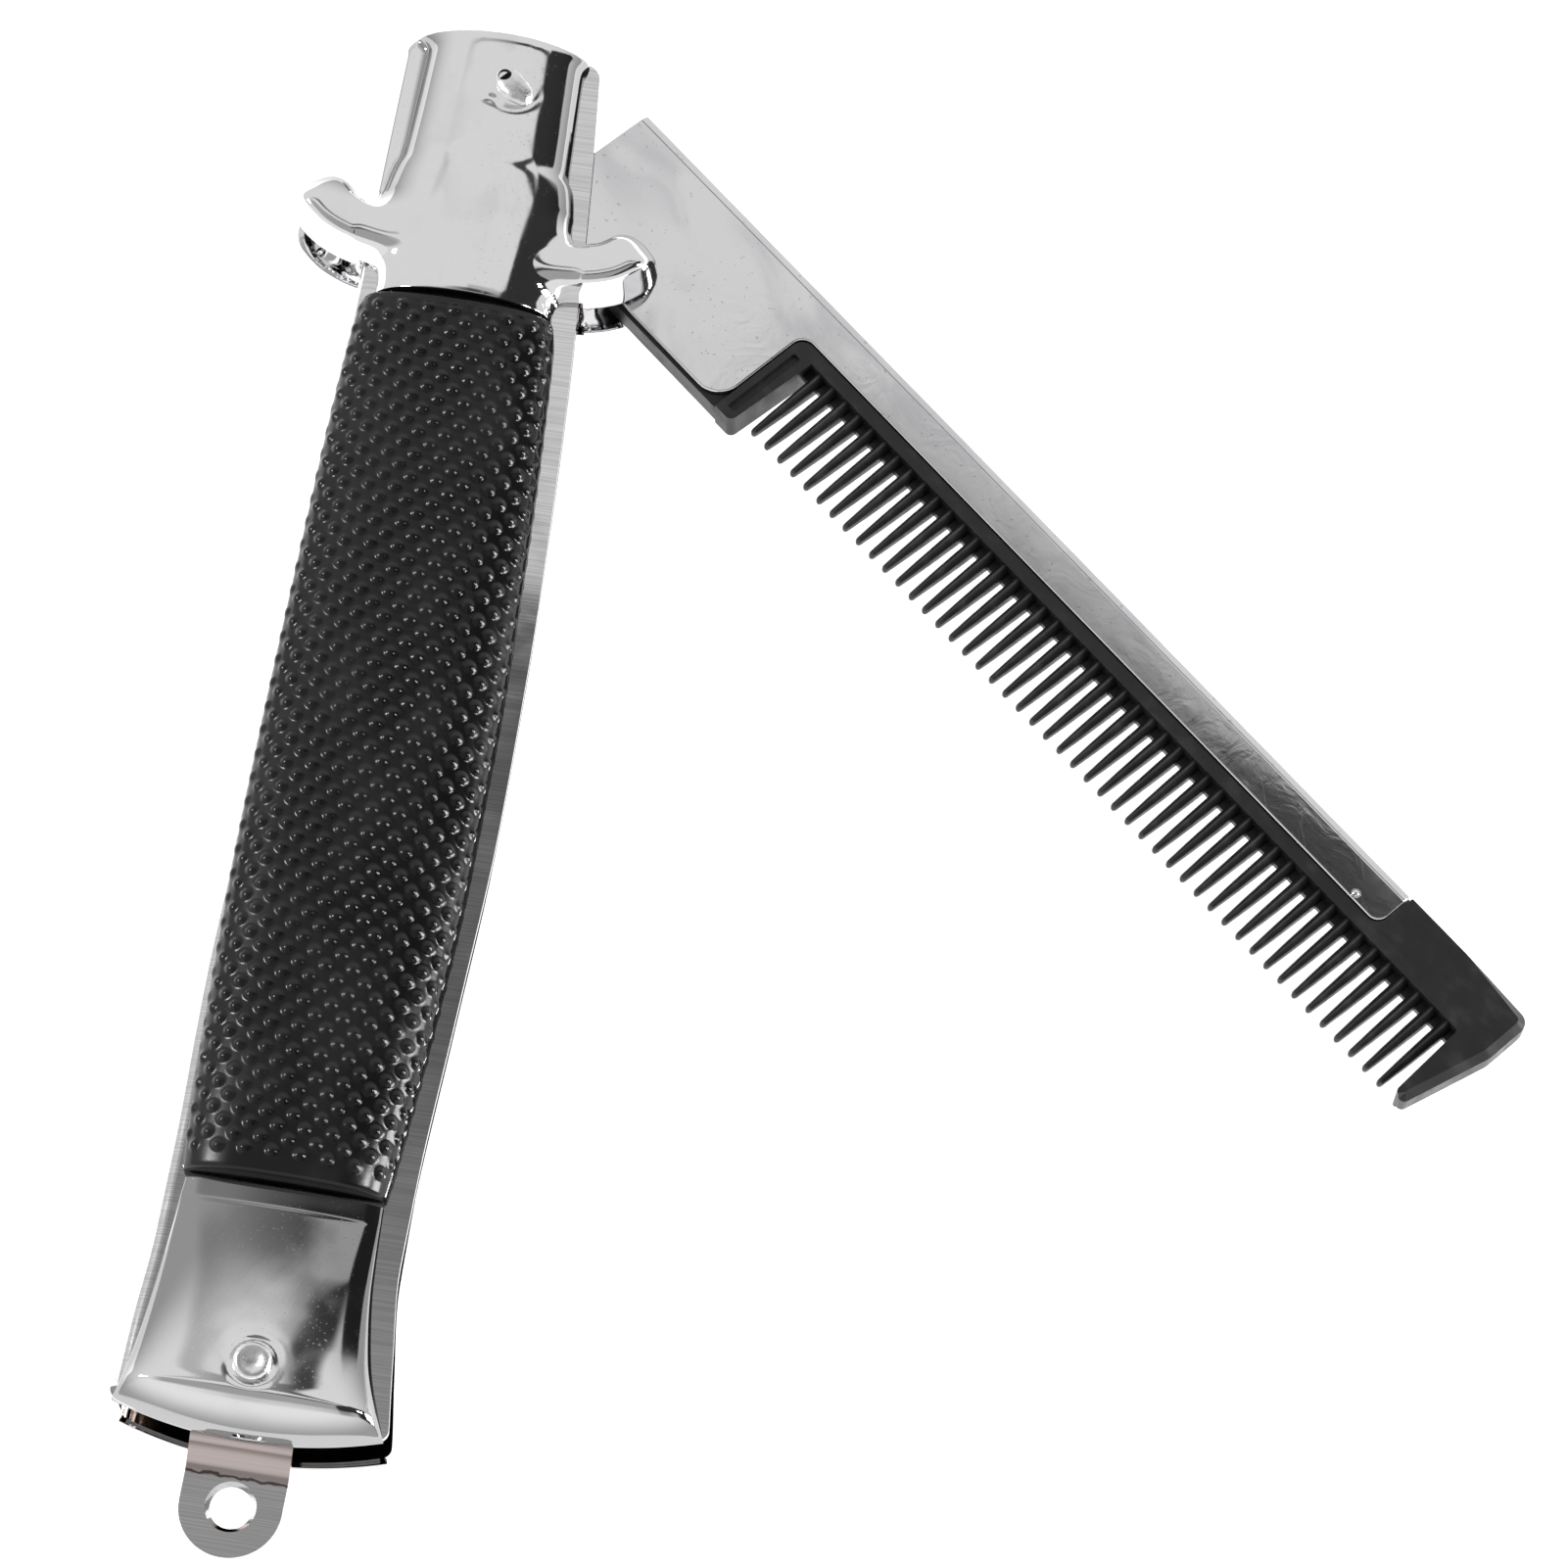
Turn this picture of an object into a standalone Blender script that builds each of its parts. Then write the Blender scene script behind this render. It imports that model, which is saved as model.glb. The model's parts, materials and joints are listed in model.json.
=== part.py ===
"""Folding pocket comb: a comb on a pivot that folds into a handle with chrome bolsters and guards.

The handle lies along Y with the comb swung out towards +X, as it lies on a table. The origin is on
the pivot's axis, on the flat end of the pivot rivet, which is the lowest face. Lengths in the
constants and tables are millimetres, and MM turns them into metres where meshes are made.
"""
import math

import bmesh
import bpy
from mathutils import Matrix, Vector

MM = 0.001

# Heights above and below the middle plane of the slot
SLOT_HALF = 2.1
SHEET = 0.6
PLATE_TOP = SLOT_HALF + SHEET
SEAT_GAP = 0.2
COVER_BASE = PLATE_TOP + SEAT_GAP
HEAD_TOP = 6.6
MIDDLE_Z = HEAD_TOP

# Pivot and bottom rivets
RIVET_LOW_Y = -106.8
PIVOT_PIN_R = 1.3
PIVOT_HEAD_R = 1.75
LOW_PIN_R = 1.1
LOW_HEAD_R = 1.55
HEAD_THICK = 0.4
HEAD_RIM = 0.12
HEAD_CROWN = 0.08
HEAD_CROWN_SHARE = 0.85
HEAD_FLAT_SHARE = 0.6
HOLE_PLAY = 0.2
RUNNING_PLAY = 0.1
ROUND_STEPS = 20

# Frame outline: y along the handle, x of the left and the right edge
FRAME_ROWS = (
    # y, left, right
    (4.0, -9.5, 6.2),
    (-3.0, -9.5, 6.9),
    (-18.0, -9.6, 8.2),
    (-33.0, -9.65, 9.15),
    (-48.0, -9.8, 9.8),
    (-62.0, -9.9, 10.0),
    (-76.0, -10.1, 9.55),
    (-90.0, -9.8, 9.0),
    (-97.0, -9.8, 8.9),
    (-104.0, -10.15, 9.6),
    (-110.0, -10.3, 10.4),
)
FRAME_TOP_BOW = 0.4
FRAME_END_BOW = 1.75
FRAME_END_POINTS_X = (5.0, 0.0, -5.0)
FRAME_TOP_CORNER_R = 1.6
FRAME_END_CORNER_R = 0.8
FRAME_STEP = 5.0

# Key-ring lug at the end of the front plate
LUG_HALF_WIDTH = 3.8
LUG_CENTRE = (-0.1, -116.4)
LUG_HOLE_R = 1.9
LUG_FOLD_Y = -114.1
LUG_ROOT_Y = -111.4
LUG_SUNK = 1.0
LUG_FLAT_Z = 0.8

# Covers: each row is one section across the handle, with the height of its arch over the cover's base and
# how far its middle is set back along y from its sides
TOP_BOLSTER_ROWS = (
    # y, left, right, height, bow
    (4.6, -7.6, 4.6, 1.6, -0.5),
    (4.45, -8.0, 5.0, 2.4, -0.5),
    (3.9, -8.2, 5.2, 2.95, -0.5),
    (3.0, -8.25, 5.35, 3.15, -0.4),
    (-2.0, -8.25, 5.7, 3.2, 0.0),
    (-6.0, -8.25, 5.9, 3.2, 0.0),
    (-7.4, -8.35, 6.35, 3.35, 0.0),
    (-12.0, -8.3, 6.6, 3.4, 0.0),
    (-18.7, -7.9, 6.2, 3.2, 0.0),
)
GRIP_ROWS = (
    # y, left, right, height, bow
    (-18.2, -7.05, 5.35, 2.3, 0.0),
    (-18.9, -7.05, 5.35, 2.3, 0.0),
    (-18.95, -8.5, 6.3, 2.4, 0.0),
    (-20.4, -9.0, 6.75, 2.75, 0.0),
    (-28.0, -9.35, 7.35, 3.0, 0.0),
    (-40.0, -9.5, 8.0, 3.15, 0.0),
    (-55.0, -9.6, 8.45, 3.25, 0.0),
    (-66.0, -9.55, 8.45, 3.3, 0.0),
    (-80.0, -9.1, 7.9, 3.3, 0.0),
    (-91.2, -8.5, 7.1, 3.25, 0.0),
    (-92.3, -8.35, 6.95, 3.15, 0.0),
    (-92.6, -8.1, 6.7, 2.8, 0.0),
)
BOTTOM_BOLSTER_ROWS = (
    # y, left, right, height, bow
    (-92.9, -8.1, 6.85, 1.45, 0.0),
    (-97.0, -8.3, 7.0, 1.55, 0.0),
    (-101.0, -8.6, 7.4, 1.95, 0.0),
    (-105.0, -9.0, 8.2, 2.6, 0.0),
    (-108.0, -9.4, 9.2, 3.1, 0.1),
    (-108.9, -9.55, 9.55, 3.1, 0.2),
    (-110.2, -9.95, 10.05, 1.3, 1.3),
    (-110.4, -10.0, 10.1, 0.4, 1.55),
)
TOP_FULLNESS = 2.5
GRIP_FULLNESS = 2.4
BOTTOM_FULLNESS = 4.0
ARCH_STEPS = 16
THINNEST_RISE = 0.05
WALL = 0.6

# Guards: a half tube on each side of the top bolster, curled towards the top end
GUARD_MIDDLE_X = -1.1
GUARD_ROUTE = ((4.5, -14.6), (8.6, -14.4), (10.9, -13.8), (12.25, -12.85))
GUARD_ROUTE_STEPS = 4
GUARD_R = 2.6
GUARD_AXIS_Z = 2.5
GUARD_RIM_Z = 2.1
GUARD_TIP_STEPS = 4
GUARD_TIP_QUARTER = 4.3

# Comb, in its own frame seen from the handle's back: along from the pivot, across towards the teeth
SWING_FROM_CLOSED = 50.2
SPINE_ACROSS = -8.2
TANG_END_ALONG = 7.1
TANG_SKEW = 2.0
TANG_LOW_ACROSS = 4.6
TANG_NOTCH_ALONG = 30.9
CHANNEL_LOW_ACROSS = -4.5
CHANNEL_END_ALONG = 96.1
CHANNEL_HALF = 1.7
CHANNEL_SHEET = 0.5
SPINE_ROUNDING = 0.9
SPINE_STEPS = 4
SPINE_CORNER_R = 1.0
NOTCH_CORNER_R = 1.1
TANG_CORNER_R = 2.2

PLASTIC_HALF = 1.5
PLASTIC_CORE_HALF = 1.05
PLASTIC_START_ALONG = 15.3
PLASTIC_PLAY = 0.15
STRIP_ACROSS = 4.85
ROOT_ACROSS = -3.3
WEB_ACROSS = -1.4
WEB_HALF = 0.45
HEEL_END_ALONG = 32.5
COMB_END_ALONG = 109.3
END_LOW_ACROSS = -3.7
END_TOOTH_ROOT_ALONG = 106.2
END_TOOTH_TIP = ((107.6, 4.3, 0.5), (106.6, 4.0, 0.4))

TOOTH_COUNT = 47
TOOTH_FIRST_ALONG = 33.7
TOOTH_PITCH = 1.557
TOOTH_TIP_ACROSS = 3.85
TOOTH_ROOT_WIDTH = 1.06
TOOTH_TIP_WIDTH = 0.5
TOOTH_ROOT_HALF = 1.35
TOOTH_SUNK = 0.4
TOOTH_SIDES = 6

ARM_HALF = 0.95
ARM_EYE_R = 4.2
ARM_SHOULDER_ALONG = 9.0
ARM_END_ALONG = 15.0
ARM_SIDES_ACROSS = (-5.2, 4.0)

# Meshes: how far cutters reach past the part, the width of welds and the angle of a sharp edge
CUT_REACH = 200.0
CUT_MARGIN = 5.0
WELD = 0.01
SHARP_ANGLE = 32

# Materials: base colour, metallic, roughness
FINISHES = {
    "steel_sheet": ((0.62, 0.62, 0.62, 1.0), 1.0, 0.32),
    "comb_steel": ((0.66, 0.66, 0.67, 1.0), 1.0, 0.22),
    "bolster_chrome": ((0.80, 0.80, 0.81, 1.0), 1.0, 0.08),
    "grip_plastic": ((0.012, 0.012, 0.013, 1.0), 0.0, 0.18),
    "comb_plastic": ((0.035, 0.035, 0.037, 1.0), 0.0, 0.42),
    "rivet_steel": ((0.72, 0.72, 0.72, 1.0), 1.0, 0.2),
}


def clear_scene():
    """Remove whatever the scene holds."""
    for obj in list(bpy.data.objects):
        bpy.data.objects.remove(obj)


def new_collection(name):
    """A collection in the scene."""
    collection = bpy.data.collections.new(name)
    bpy.context.scene.collection.children.link(collection)
    return collection


def make_materials():
    """One Principled material for each finish."""
    materials = {}
    for name, (colour, metallic, roughness) in FINISHES.items():
        material = bpy.data.materials.new(name)
        material.use_nodes = True
        shader = material.node_tree.nodes["Principled BSDF"]
        shader.inputs["Base Color"].default_value = colour
        shader.inputs["Metallic"].default_value = metallic
        shader.inputs["Roughness"].default_value = roughness
        materials[name] = material
    return materials


def interpolate(rows, y):
    """A row of the table at y, on a smooth curve through the rows."""
    last = len(rows) - 1
    index = 0
    while index < last - 1 and y < rows[index + 1][0]:
        index += 1
    low, high = rows[index], rows[index + 1]
    before, after = rows[max(index - 1, 0)], rows[min(index + 2, last)]
    span = high[0] - low[0]
    t = (y - low[0]) / span
    result = [y]
    for column in range(1, len(low)):
        rise = (high[column] - low[column]) / span
        slope_low = (high[column] - before[column]) / (high[0] - before[0]) if index > 0 else rise
        slope_high = (after[column] - low[column]) / (after[0] - low[0]) if index + 2 <= last else rise
        result.append((2 * t**3 - 3 * t**2 + 1) * low[column] + (t**3 - 2 * t**2 + t) * span * slope_low
                      + (3 * t**2 - 2 * t**3) * high[column] + (t**3 - t**2) * span * slope_high)
    return result


def filleted(corners, steps=4):
    """An outline with each corner (x, y, radius) rounded by an arc."""
    points = []
    count = len(corners)
    for index, (x, y, radius) in enumerate(corners):
        corner = Vector((x, y))
        if radius == 0:
            points.append(corner)
            continue
        back = (Vector(corners[index - 1][:2]) - corner).normalized()
        ahead = (Vector(corners[(index + 1) % count][:2]) - corner).normalized()
        half = back.angle(ahead) / 2
        centre = corner + (back + ahead).normalized() * radius / math.sin(half)
        start = corner + back * radius / math.tan(half) - centre
        end = corner + ahead * radius / math.tan(half) - centre
        turn = start.angle_signed(end)
        for step in range(steps + 1):
            points.append(centre + Matrix.Rotation(-turn * step / steps, 2) @ start)
    return points


def circle(centre, radius, steps=ROUND_STEPS):
    """Points around a circle."""
    return [Vector((centre[0] + radius * math.cos(2 * math.pi * step / steps),
                    centre[1] + radius * math.sin(2 * math.pi * step / steps))) for step in range(steps)]


def add_spline(curve, points):
    """A closed straight-edged spline in a flat curve."""
    spline = curve.splines.new("POLY")
    spline.points.add(len(points) - 1)
    for point, (x, y) in zip(spline.points, points):
        point.co = (x * MM, y * MM, 0.0, 1.0)
    spline.use_cyclic_u = True


def plate(name, outline, low, high, collection, holes=()):
    """A flat plate of an outline, with holes, between two heights."""
    curve = bpy.data.curves.new(name, "CURVE")
    curve.dimensions = "2D"
    curve.fill_mode = "BOTH"
    curve.extrude = (high - low) / 2 * MM
    for points in (outline, *holes):
        add_spline(curve, points)
    blank = bpy.data.objects.new(name + "_curve", curve)
    collection.objects.link(blank)
    bpy.context.view_layer.update()
    evaluated = blank.evaluated_get(bpy.context.evaluated_depsgraph_get())
    mesh = bpy.data.meshes.new_from_object(evaluated)
    bpy.data.objects.remove(blank)
    bm = bmesh.new()
    bm.from_mesh(mesh)
    bmesh.ops.remove_doubles(bm, verts=bm.verts, dist=WELD * MM)
    bmesh.ops.translate(bm, vec=(0, 0, (low + high) / 2 * MM), verts=bm.verts)
    bm.to_mesh(mesh)
    bm.free()
    obj = bpy.data.objects.new(name, mesh)
    collection.objects.link(obj)
    return obj


def slab(name, low_z, high_z, collection):
    """A wide box between two heights, for cutting off what lies there."""
    bm = bmesh.new()
    bmesh.ops.create_cube(bm, size=1.0)
    bmesh.ops.scale(bm, vec=(2 * CUT_REACH * MM, 2 * CUT_REACH * MM, (high_z - low_z) * MM), verts=bm.verts)
    bmesh.ops.translate(bm, vec=(0, 0, (low_z + high_z) / 2 * MM), verts=bm.verts)
    return mesh_object(name, bm, collection)


def mesh_object(name, bm, collection):
    """An object from a bmesh, which is freed."""
    mesh = bpy.data.meshes.new(name)
    bm.to_mesh(mesh)
    bm.free()
    obj = bpy.data.objects.new(name, mesh)
    collection.objects.link(obj)
    return obj


def apply_modifiers(obj):
    """Turn an object's modifiers into its mesh."""
    bpy.context.view_layer.update()
    evaluated = obj.evaluated_get(bpy.context.evaluated_depsgraph_get())
    mesh = bpy.data.meshes.new_from_object(evaluated)
    obj.modifiers.clear()
    obj.data = mesh
    return obj


def boolean(obj, tool, operation):
    """Join or cut an object with another and drop the tool."""
    modifier = obj.modifiers.new(operation.lower(), "BOOLEAN")
    modifier.operation = operation
    modifier.object = tool
    modifier.solver = "EXACT"
    apply_modifiers(obj)
    bpy.data.objects.remove(tool)
    return obj


def arch(row, fullness, base, inset=0.0):
    """A closed section: an arch over the base, with its two feet brought down below it."""
    y, left, right, height, bow = row
    middle = (left + right) / 2
    half = (right - left) / 2 - inset
    rise = max(height - inset, THINNEST_RISE)
    points = []
    for step in range(ARCH_STEPS + 1):
        angle = math.pi * step / ARCH_STEPS
        x = -math.copysign(abs(math.cos(angle)) ** (2 / fullness), math.cos(angle))
        z = math.sin(angle) ** (2 / fullness)
        points.append((middle + half * x, y - bow * (1 - x * x), base + rise * z))
    return points + [(middle + half, y, 0.0), (middle - half, y, 0.0)]


def loft(name, rings, collection):
    """A closed solid through rings of equal length."""
    bm = bmesh.new()
    loops = [[bm.verts.new([value * MM for value in point]) for point in ring] for ring in rings]
    count = len(rings[0])
    for first, second in zip(loops, loops[1:]):
        for index in range(count):
            following = (index + 1) % count
            bm.faces.new((first[index], first[following], second[following], second[index]))
    bm.faces.new(loops[0][::-1])
    bm.faces.new(loops[-1])
    bmesh.ops.recalc_face_normals(bm, faces=bm.faces)
    return mesh_object(name, bm, collection)


def drill(obj, centre, radius, low, high, collection):
    """Cut an upright round hole between two heights."""
    bm = bmesh.new()
    bmesh.ops.create_cone(bm, cap_ends=True, segments=ROUND_STEPS, radius1=radius * MM, radius2=radius * MM,
                          depth=(high - low) * MM)
    bmesh.ops.translate(bm, vec=(centre[0] * MM, centre[1] * MM, (low + high) / 2 * MM), verts=bm.verts)
    return boolean(obj, mesh_object("drill", bm, collection), "DIFFERENCE")


def frame_outline(grow=0.0):
    """Corner points of the frame's front plate, grown outwards by a margin."""
    top, end = FRAME_ROWS[0], FRAME_ROWS[-1]
    steps = int((top[0] - end[0]) / FRAME_STEP)
    rows = [interpolate(FRAME_ROWS, top[0] + (end[0] - top[0]) * step / steps) for step in range(1, steps)]
    corners = [(top[1] - grow, top[0] + grow, FRAME_TOP_CORNER_R),
               ((top[1] + top[2]) / 2, top[0] + FRAME_TOP_BOW + grow, 0),
               (top[2] + grow, top[0] + grow, FRAME_TOP_CORNER_R)]
    corners += [(right + grow, y, 0) for y, left, right in rows]
    corners.append((end[2] + grow, end[0] - grow, FRAME_END_CORNER_R))
    middle, half = (end[1] + end[2]) / 2, (end[2] - end[1]) / 2
    for x in FRAME_END_POINTS_X:
        corners.append((middle + x, end[0] - FRAME_END_BOW * (1 - (x / half) ** 2) - grow, 0))
    corners.append((end[1] - grow, end[0] - grow, FRAME_END_CORNER_R))
    corners += [(left - grow, y, 0) for y, left, right in reversed(rows)]
    return filleted(corners)


def build_lug(collection):
    """The lug: a rounded tab with a hole, folded down from the plate's level."""
    x, y = LUG_CENTRE
    root = LUG_ROOT_Y + LUG_SUNK
    outline = [Vector((x + LUG_HALF_WIDTH, root)), Vector((x - LUG_HALF_WIDTH, root))]
    for step in range(ROUND_STEPS + 1):
        angle = math.pi * step / ROUND_STEPS
        outline.append(Vector((x - LUG_HALF_WIDTH * math.cos(angle), y - LUG_HALF_WIDTH * math.sin(angle))))
    lug = plate("lug", outline, LUG_FLAT_Z - SHEET / 2, LUG_FLAT_Z + SHEET / 2, collection,
                holes=[circle(LUG_CENTRE, LUG_HOLE_R)])
    bm = bmesh.new()
    bm.from_mesh(lug.data)
    for fold in (LUG_FOLD_Y, LUG_ROOT_Y):
        bmesh.ops.bisect_plane(bm, geom=bm.verts[:] + bm.edges[:] + bm.faces[:],
                               plane_co=(0, fold * MM, 0), plane_no=(0, 1, 0))
    lift = SLOT_HALF + SHEET / 2 - LUG_FLAT_Z
    for vert in bm.verts:
        share = (vert.co.y / MM - LUG_FOLD_Y) / (LUG_ROOT_Y - LUG_FOLD_Y)
        vert.co.z += min(max(share, 0.0), 1.0) * lift * MM
    bm.to_mesh(lug.data)
    bm.free()
    return lug


def build_slot(collection):
    """The room inside the folded sheet, open on the right and at both ends."""
    rows = [(y, left + SHEET) for y, left, right in FRAME_ROWS]
    rows[0] = (rows[0][0] + CUT_MARGIN, rows[0][1])
    rows[-1] = (rows[-1][0] - CUT_MARGIN, rows[-1][1])
    return loft("slot", [[(wall, y, -SLOT_HALF), (CUT_REACH, y, -SLOT_HALF), (CUT_REACH, y, SLOT_HALF),
                          (wall, y, SLOT_HALF)] for y, wall in rows], collection)


def build_frame(collection):
    """The folded sheet: front plate, left wall and back plate round the slot, with the lug."""
    frame = plate("frame", frame_outline(), -PLATE_TOP, PLATE_TOP, collection)
    boolean(frame, build_slot(collection), "DIFFERENCE")
    boolean(frame, build_lug(collection), "UNION")
    drill(frame, (0, 0), PIVOT_PIN_R + HOLE_PLAY, -HEAD_TOP, HEAD_TOP, collection)
    return drill(frame, (0, RIVET_LOW_Y), LOW_PIN_R + HOLE_PLAY, -HEAD_TOP, HEAD_TOP, collection)


def guard_rings(side, radius):
    """Rings along a guard's curled route, closing to a round tip."""
    points = [Vector(((GUARD_MIDDLE_X + side * x), y)) for x, y in GUARD_ROUTE]
    route = []
    for index in range(len(points) - 1):
        p0, p1 = points[max(index - 1, 0)], points[index]
        p2, p3 = points[index + 1], points[min(index + 2, len(points) - 1)]
        for step in range(GUARD_ROUTE_STEPS):
            t = step / GUARD_ROUTE_STEPS
            route.append(p1 + 0.5 * (t * (p2 - p0) + t**2 * (2 * p0 - 5 * p1 + 4 * p2 - p3)
                                     + t**3 * (3 * p1 - p0 - 3 * p2 + p3)))
    route.append(points[-1])
    stations = [(point, radius) for point in route]
    heading = (route[-1] - route[-2]).normalized()
    for step in range(1, GUARD_TIP_STEPS + 1):
        angle = math.pi / 2 * step / GUARD_TIP_QUARTER
        stations.append((route[-1] + heading * radius * math.sin(angle), radius * math.cos(angle)))
    rings = []
    for index, (point, size) in enumerate(stations):
        ahead = stations[min(index + 1, len(stations) - 1)][0] - stations[max(index - 1, 0)][0]
        across = Vector((-ahead.y, ahead.x)).normalized()
        ring = []
        for step in range(ARCH_STEPS):
            angle = 2 * math.pi * step / ARCH_STEPS
            offset = across * size * math.cos(angle)
            ring.append((point.x + offset.x, point.y + offset.y, GUARD_AXIS_Z + size * math.sin(angle)))
        rings.append(ring)
    return rings


def build_guard(side, collection):
    """One guard as a solid half tube, cut at its rim and kept clear of the frame."""
    guard = loft("guard", guard_rings(side, GUARD_R), collection)
    boolean(guard, slab("below_rim", -CUT_REACH, GUARD_RIM_Z, collection), "DIFFERENCE")
    room = plate("frame_room", frame_outline(SEAT_GAP), -COVER_BASE, COVER_BASE, collection)
    return boolean(guard, room, "DIFFERENCE")


def build_top_bolster(collection):
    """The chrome cover over the pivot with its two guards, hollow and open below."""
    cover = loft("bolster_top_front", [arch(row, TOP_FULLNESS, COVER_BASE) for row in TOP_BOLSTER_ROWS], collection)
    boolean(cover, slab("below_cover", -CUT_REACH, COVER_BASE, collection), "DIFFERENCE")
    for side in (-1, 1):
        boolean(cover, build_guard(side, collection), "UNION")
    end_rows, last = TOP_BOLSTER_ROWS[1:3], TOP_BOLSTER_ROWS[-1]
    inner_rows = [(row[0] - WALL, *row[1:]) for row in end_rows] + list(TOP_BOLSTER_ROWS[3:-1])
    inner_rows.append((last[0] - CUT_MARGIN, *last[1:]))
    core = loft("dome_core", [arch(row, TOP_FULLNESS, COVER_BASE, WALL) for row in inner_rows], collection)
    boolean(cover, core, "DIFFERENCE")
    for side in (-1, 1):
        boolean(cover, loft("guard_core", guard_rings(side, GUARD_R - WALL), collection), "DIFFERENCE")
    return drill(cover, (0, 0), PIVOT_PIN_R + HOLE_PLAY, 0, HEAD_TOP, collection)


def build_grip(collection):
    """The black grip scale, solid, arched across the handle."""
    grip = loft("grip_front", [arch(row, GRIP_FULLNESS, COVER_BASE) for row in GRIP_ROWS], collection)
    return boolean(grip, slab("below_grip", -CUT_REACH, COVER_BASE, collection), "DIFFERENCE")


def build_bottom_bolster(collection):
    """The chrome cover at the bottom end, hollow and open below and towards the grip."""
    outer = loft("bolster_bottom_front", [arch(row, BOTTOM_FULLNESS, COVER_BASE) for row in BOTTOM_BOLSTER_ROWS],
                 collection)
    first, crease = BOTTOM_BOLSTER_ROWS[0], BOTTOM_BOLSTER_ROWS[-3]
    inner_rows = [(first[0] + CUT_MARGIN, *first[1:])] + list(BOTTOM_BOLSTER_ROWS[1:-3])
    inner_rows += [(crease[0] + WALL / 2, *crease[1:]), (crease[0] - WALL, *crease[1:3], crease[3] / 2, WALL)]
    inner = loft("bolster_core", [arch(row, BOTTOM_FULLNESS, COVER_BASE, WALL) for row in inner_rows], collection)
    boolean(outer, inner, "DIFFERENCE")
    boolean(outer, slab("below_bolster", -CUT_REACH, COVER_BASE, collection), "DIFFERENCE")
    return drill(outer, (0, RIVET_LOW_Y), LOW_PIN_R + HOLE_PLAY, 0, HEAD_TOP, collection)


def mirrored(front, name, collection):
    """The same cover on the back of the handle."""
    mesh = front.data.copy()
    mesh.transform(Matrix.Scale(-1, 4, (0, 0, 1)))
    mesh.flip_normals()
    back = bpy.data.objects.new(name, mesh)
    collection.objects.link(back)
    return back


def turned(name, profile, centre, collection):
    """A turned piece: a profile of (radius, z) swept round an upright axis."""
    bm = bmesh.new()
    verts = [bm.verts.new((radius * MM, 0, z * MM)) for radius, z in profile]
    for first, second in zip(verts, verts[1:]):
        bm.edges.new((first, second))
    obj = mesh_object(name, bm, collection)
    screw = obj.modifiers.new("turn", "SCREW")
    screw.steps = screw.render_steps = ROUND_STEPS
    screw.use_merge_vertices = True
    screw.merge_threshold = WELD * MM
    apply_modifiers(obj)
    obj.data.transform(Matrix.Translation((centre[0] * MM, centre[1] * MM, 0)))
    return obj


def head_profile(head_r, pin_r, sign):
    """Half of a rivet's profile: a domed head with a small flat end, down to the shank."""
    under = HEAD_TOP - HEAD_THICK
    return [(0.0, sign * HEAD_TOP), (head_r * HEAD_FLAT_SHARE, sign * HEAD_TOP),
            (head_r * HEAD_CROWN_SHARE, sign * (HEAD_TOP - HEAD_CROWN)), (head_r, sign * (under + HEAD_RIM)),
            (head_r, sign * under), (pin_r, sign * under)]


def build_rivets(collection):
    """The pivot rivet through the handle and a short rivet in each bottom bolster."""
    through = head_profile(PIVOT_HEAD_R, PIVOT_PIN_R, 1) + head_profile(PIVOT_HEAD_R, PIVOT_PIN_R, -1)[::-1]
    pivot = turned("pivot_rivet", through, (0, 0), collection)
    foot_z = SLOT_HALF + THINNEST_RISE
    short = head_profile(LOW_HEAD_R, LOW_PIN_R, 1) + [(LOW_PIN_R, foot_z), (0.0, foot_z)]
    front = turned("bottom_rivet_front", short, (0, RIVET_LOW_Y), collection)
    back = mirrored(front, "bottom_rivet_back", collection)
    return [pivot, front, back]


def channel_outline():
    """The folded steel: the wide tang, its notch and the slim channel along the comb's back."""
    return filleted([
        (TANG_END_ALONG, SPINE_ACROSS, 0),
        (CHANNEL_END_ALONG, SPINE_ACROSS, 0),
        (CHANNEL_END_ALONG, CHANNEL_LOW_ACROSS, SPINE_CORNER_R),
        (TANG_NOTCH_ALONG, CHANNEL_LOW_ACROSS, NOTCH_CORNER_R),
        (TANG_NOTCH_ALONG, TANG_LOW_ACROSS, TANG_CORNER_R),
        (TANG_END_ALONG + TANG_SKEW, TANG_LOW_ACROSS, SPINE_CORNER_R),
    ])


def build_comb_spine(collection):
    """The steel channel: the outline with a slot that leaves the fold along the back."""
    spine = plate("comb_spine", channel_outline(), -CHANNEL_HALF, CHANNEL_HALF, collection)
    bm = bmesh.new()
    bm.from_mesh(spine.data)
    folds = [edge for edge in bm.edges
             if all(abs(v.co.y / MM - SPINE_ACROSS) < WELD for v in edge.verts)
             and abs(edge.verts[0].co.z - edge.verts[1].co.z) < WELD * MM]
    bmesh.ops.bevel(bm, geom=folds, offset=SPINE_ROUNDING * MM, offset_type="OFFSET", segments=SPINE_STEPS,
                    profile=0.5, affect="EDGES", material=-1)
    bm.to_mesh(spine.data)
    bm.free()
    inside = CHANNEL_HALF - CHANNEL_SHEET
    fold = SPINE_ACROSS + CHANNEL_SHEET
    room = [(0, fold), (CUT_REACH, fold), (CUT_REACH, CUT_REACH), (0, CUT_REACH)]
    return boolean(spine, plate("channel_room", room, -inside, inside, collection), "DIFFERENCE")


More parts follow.
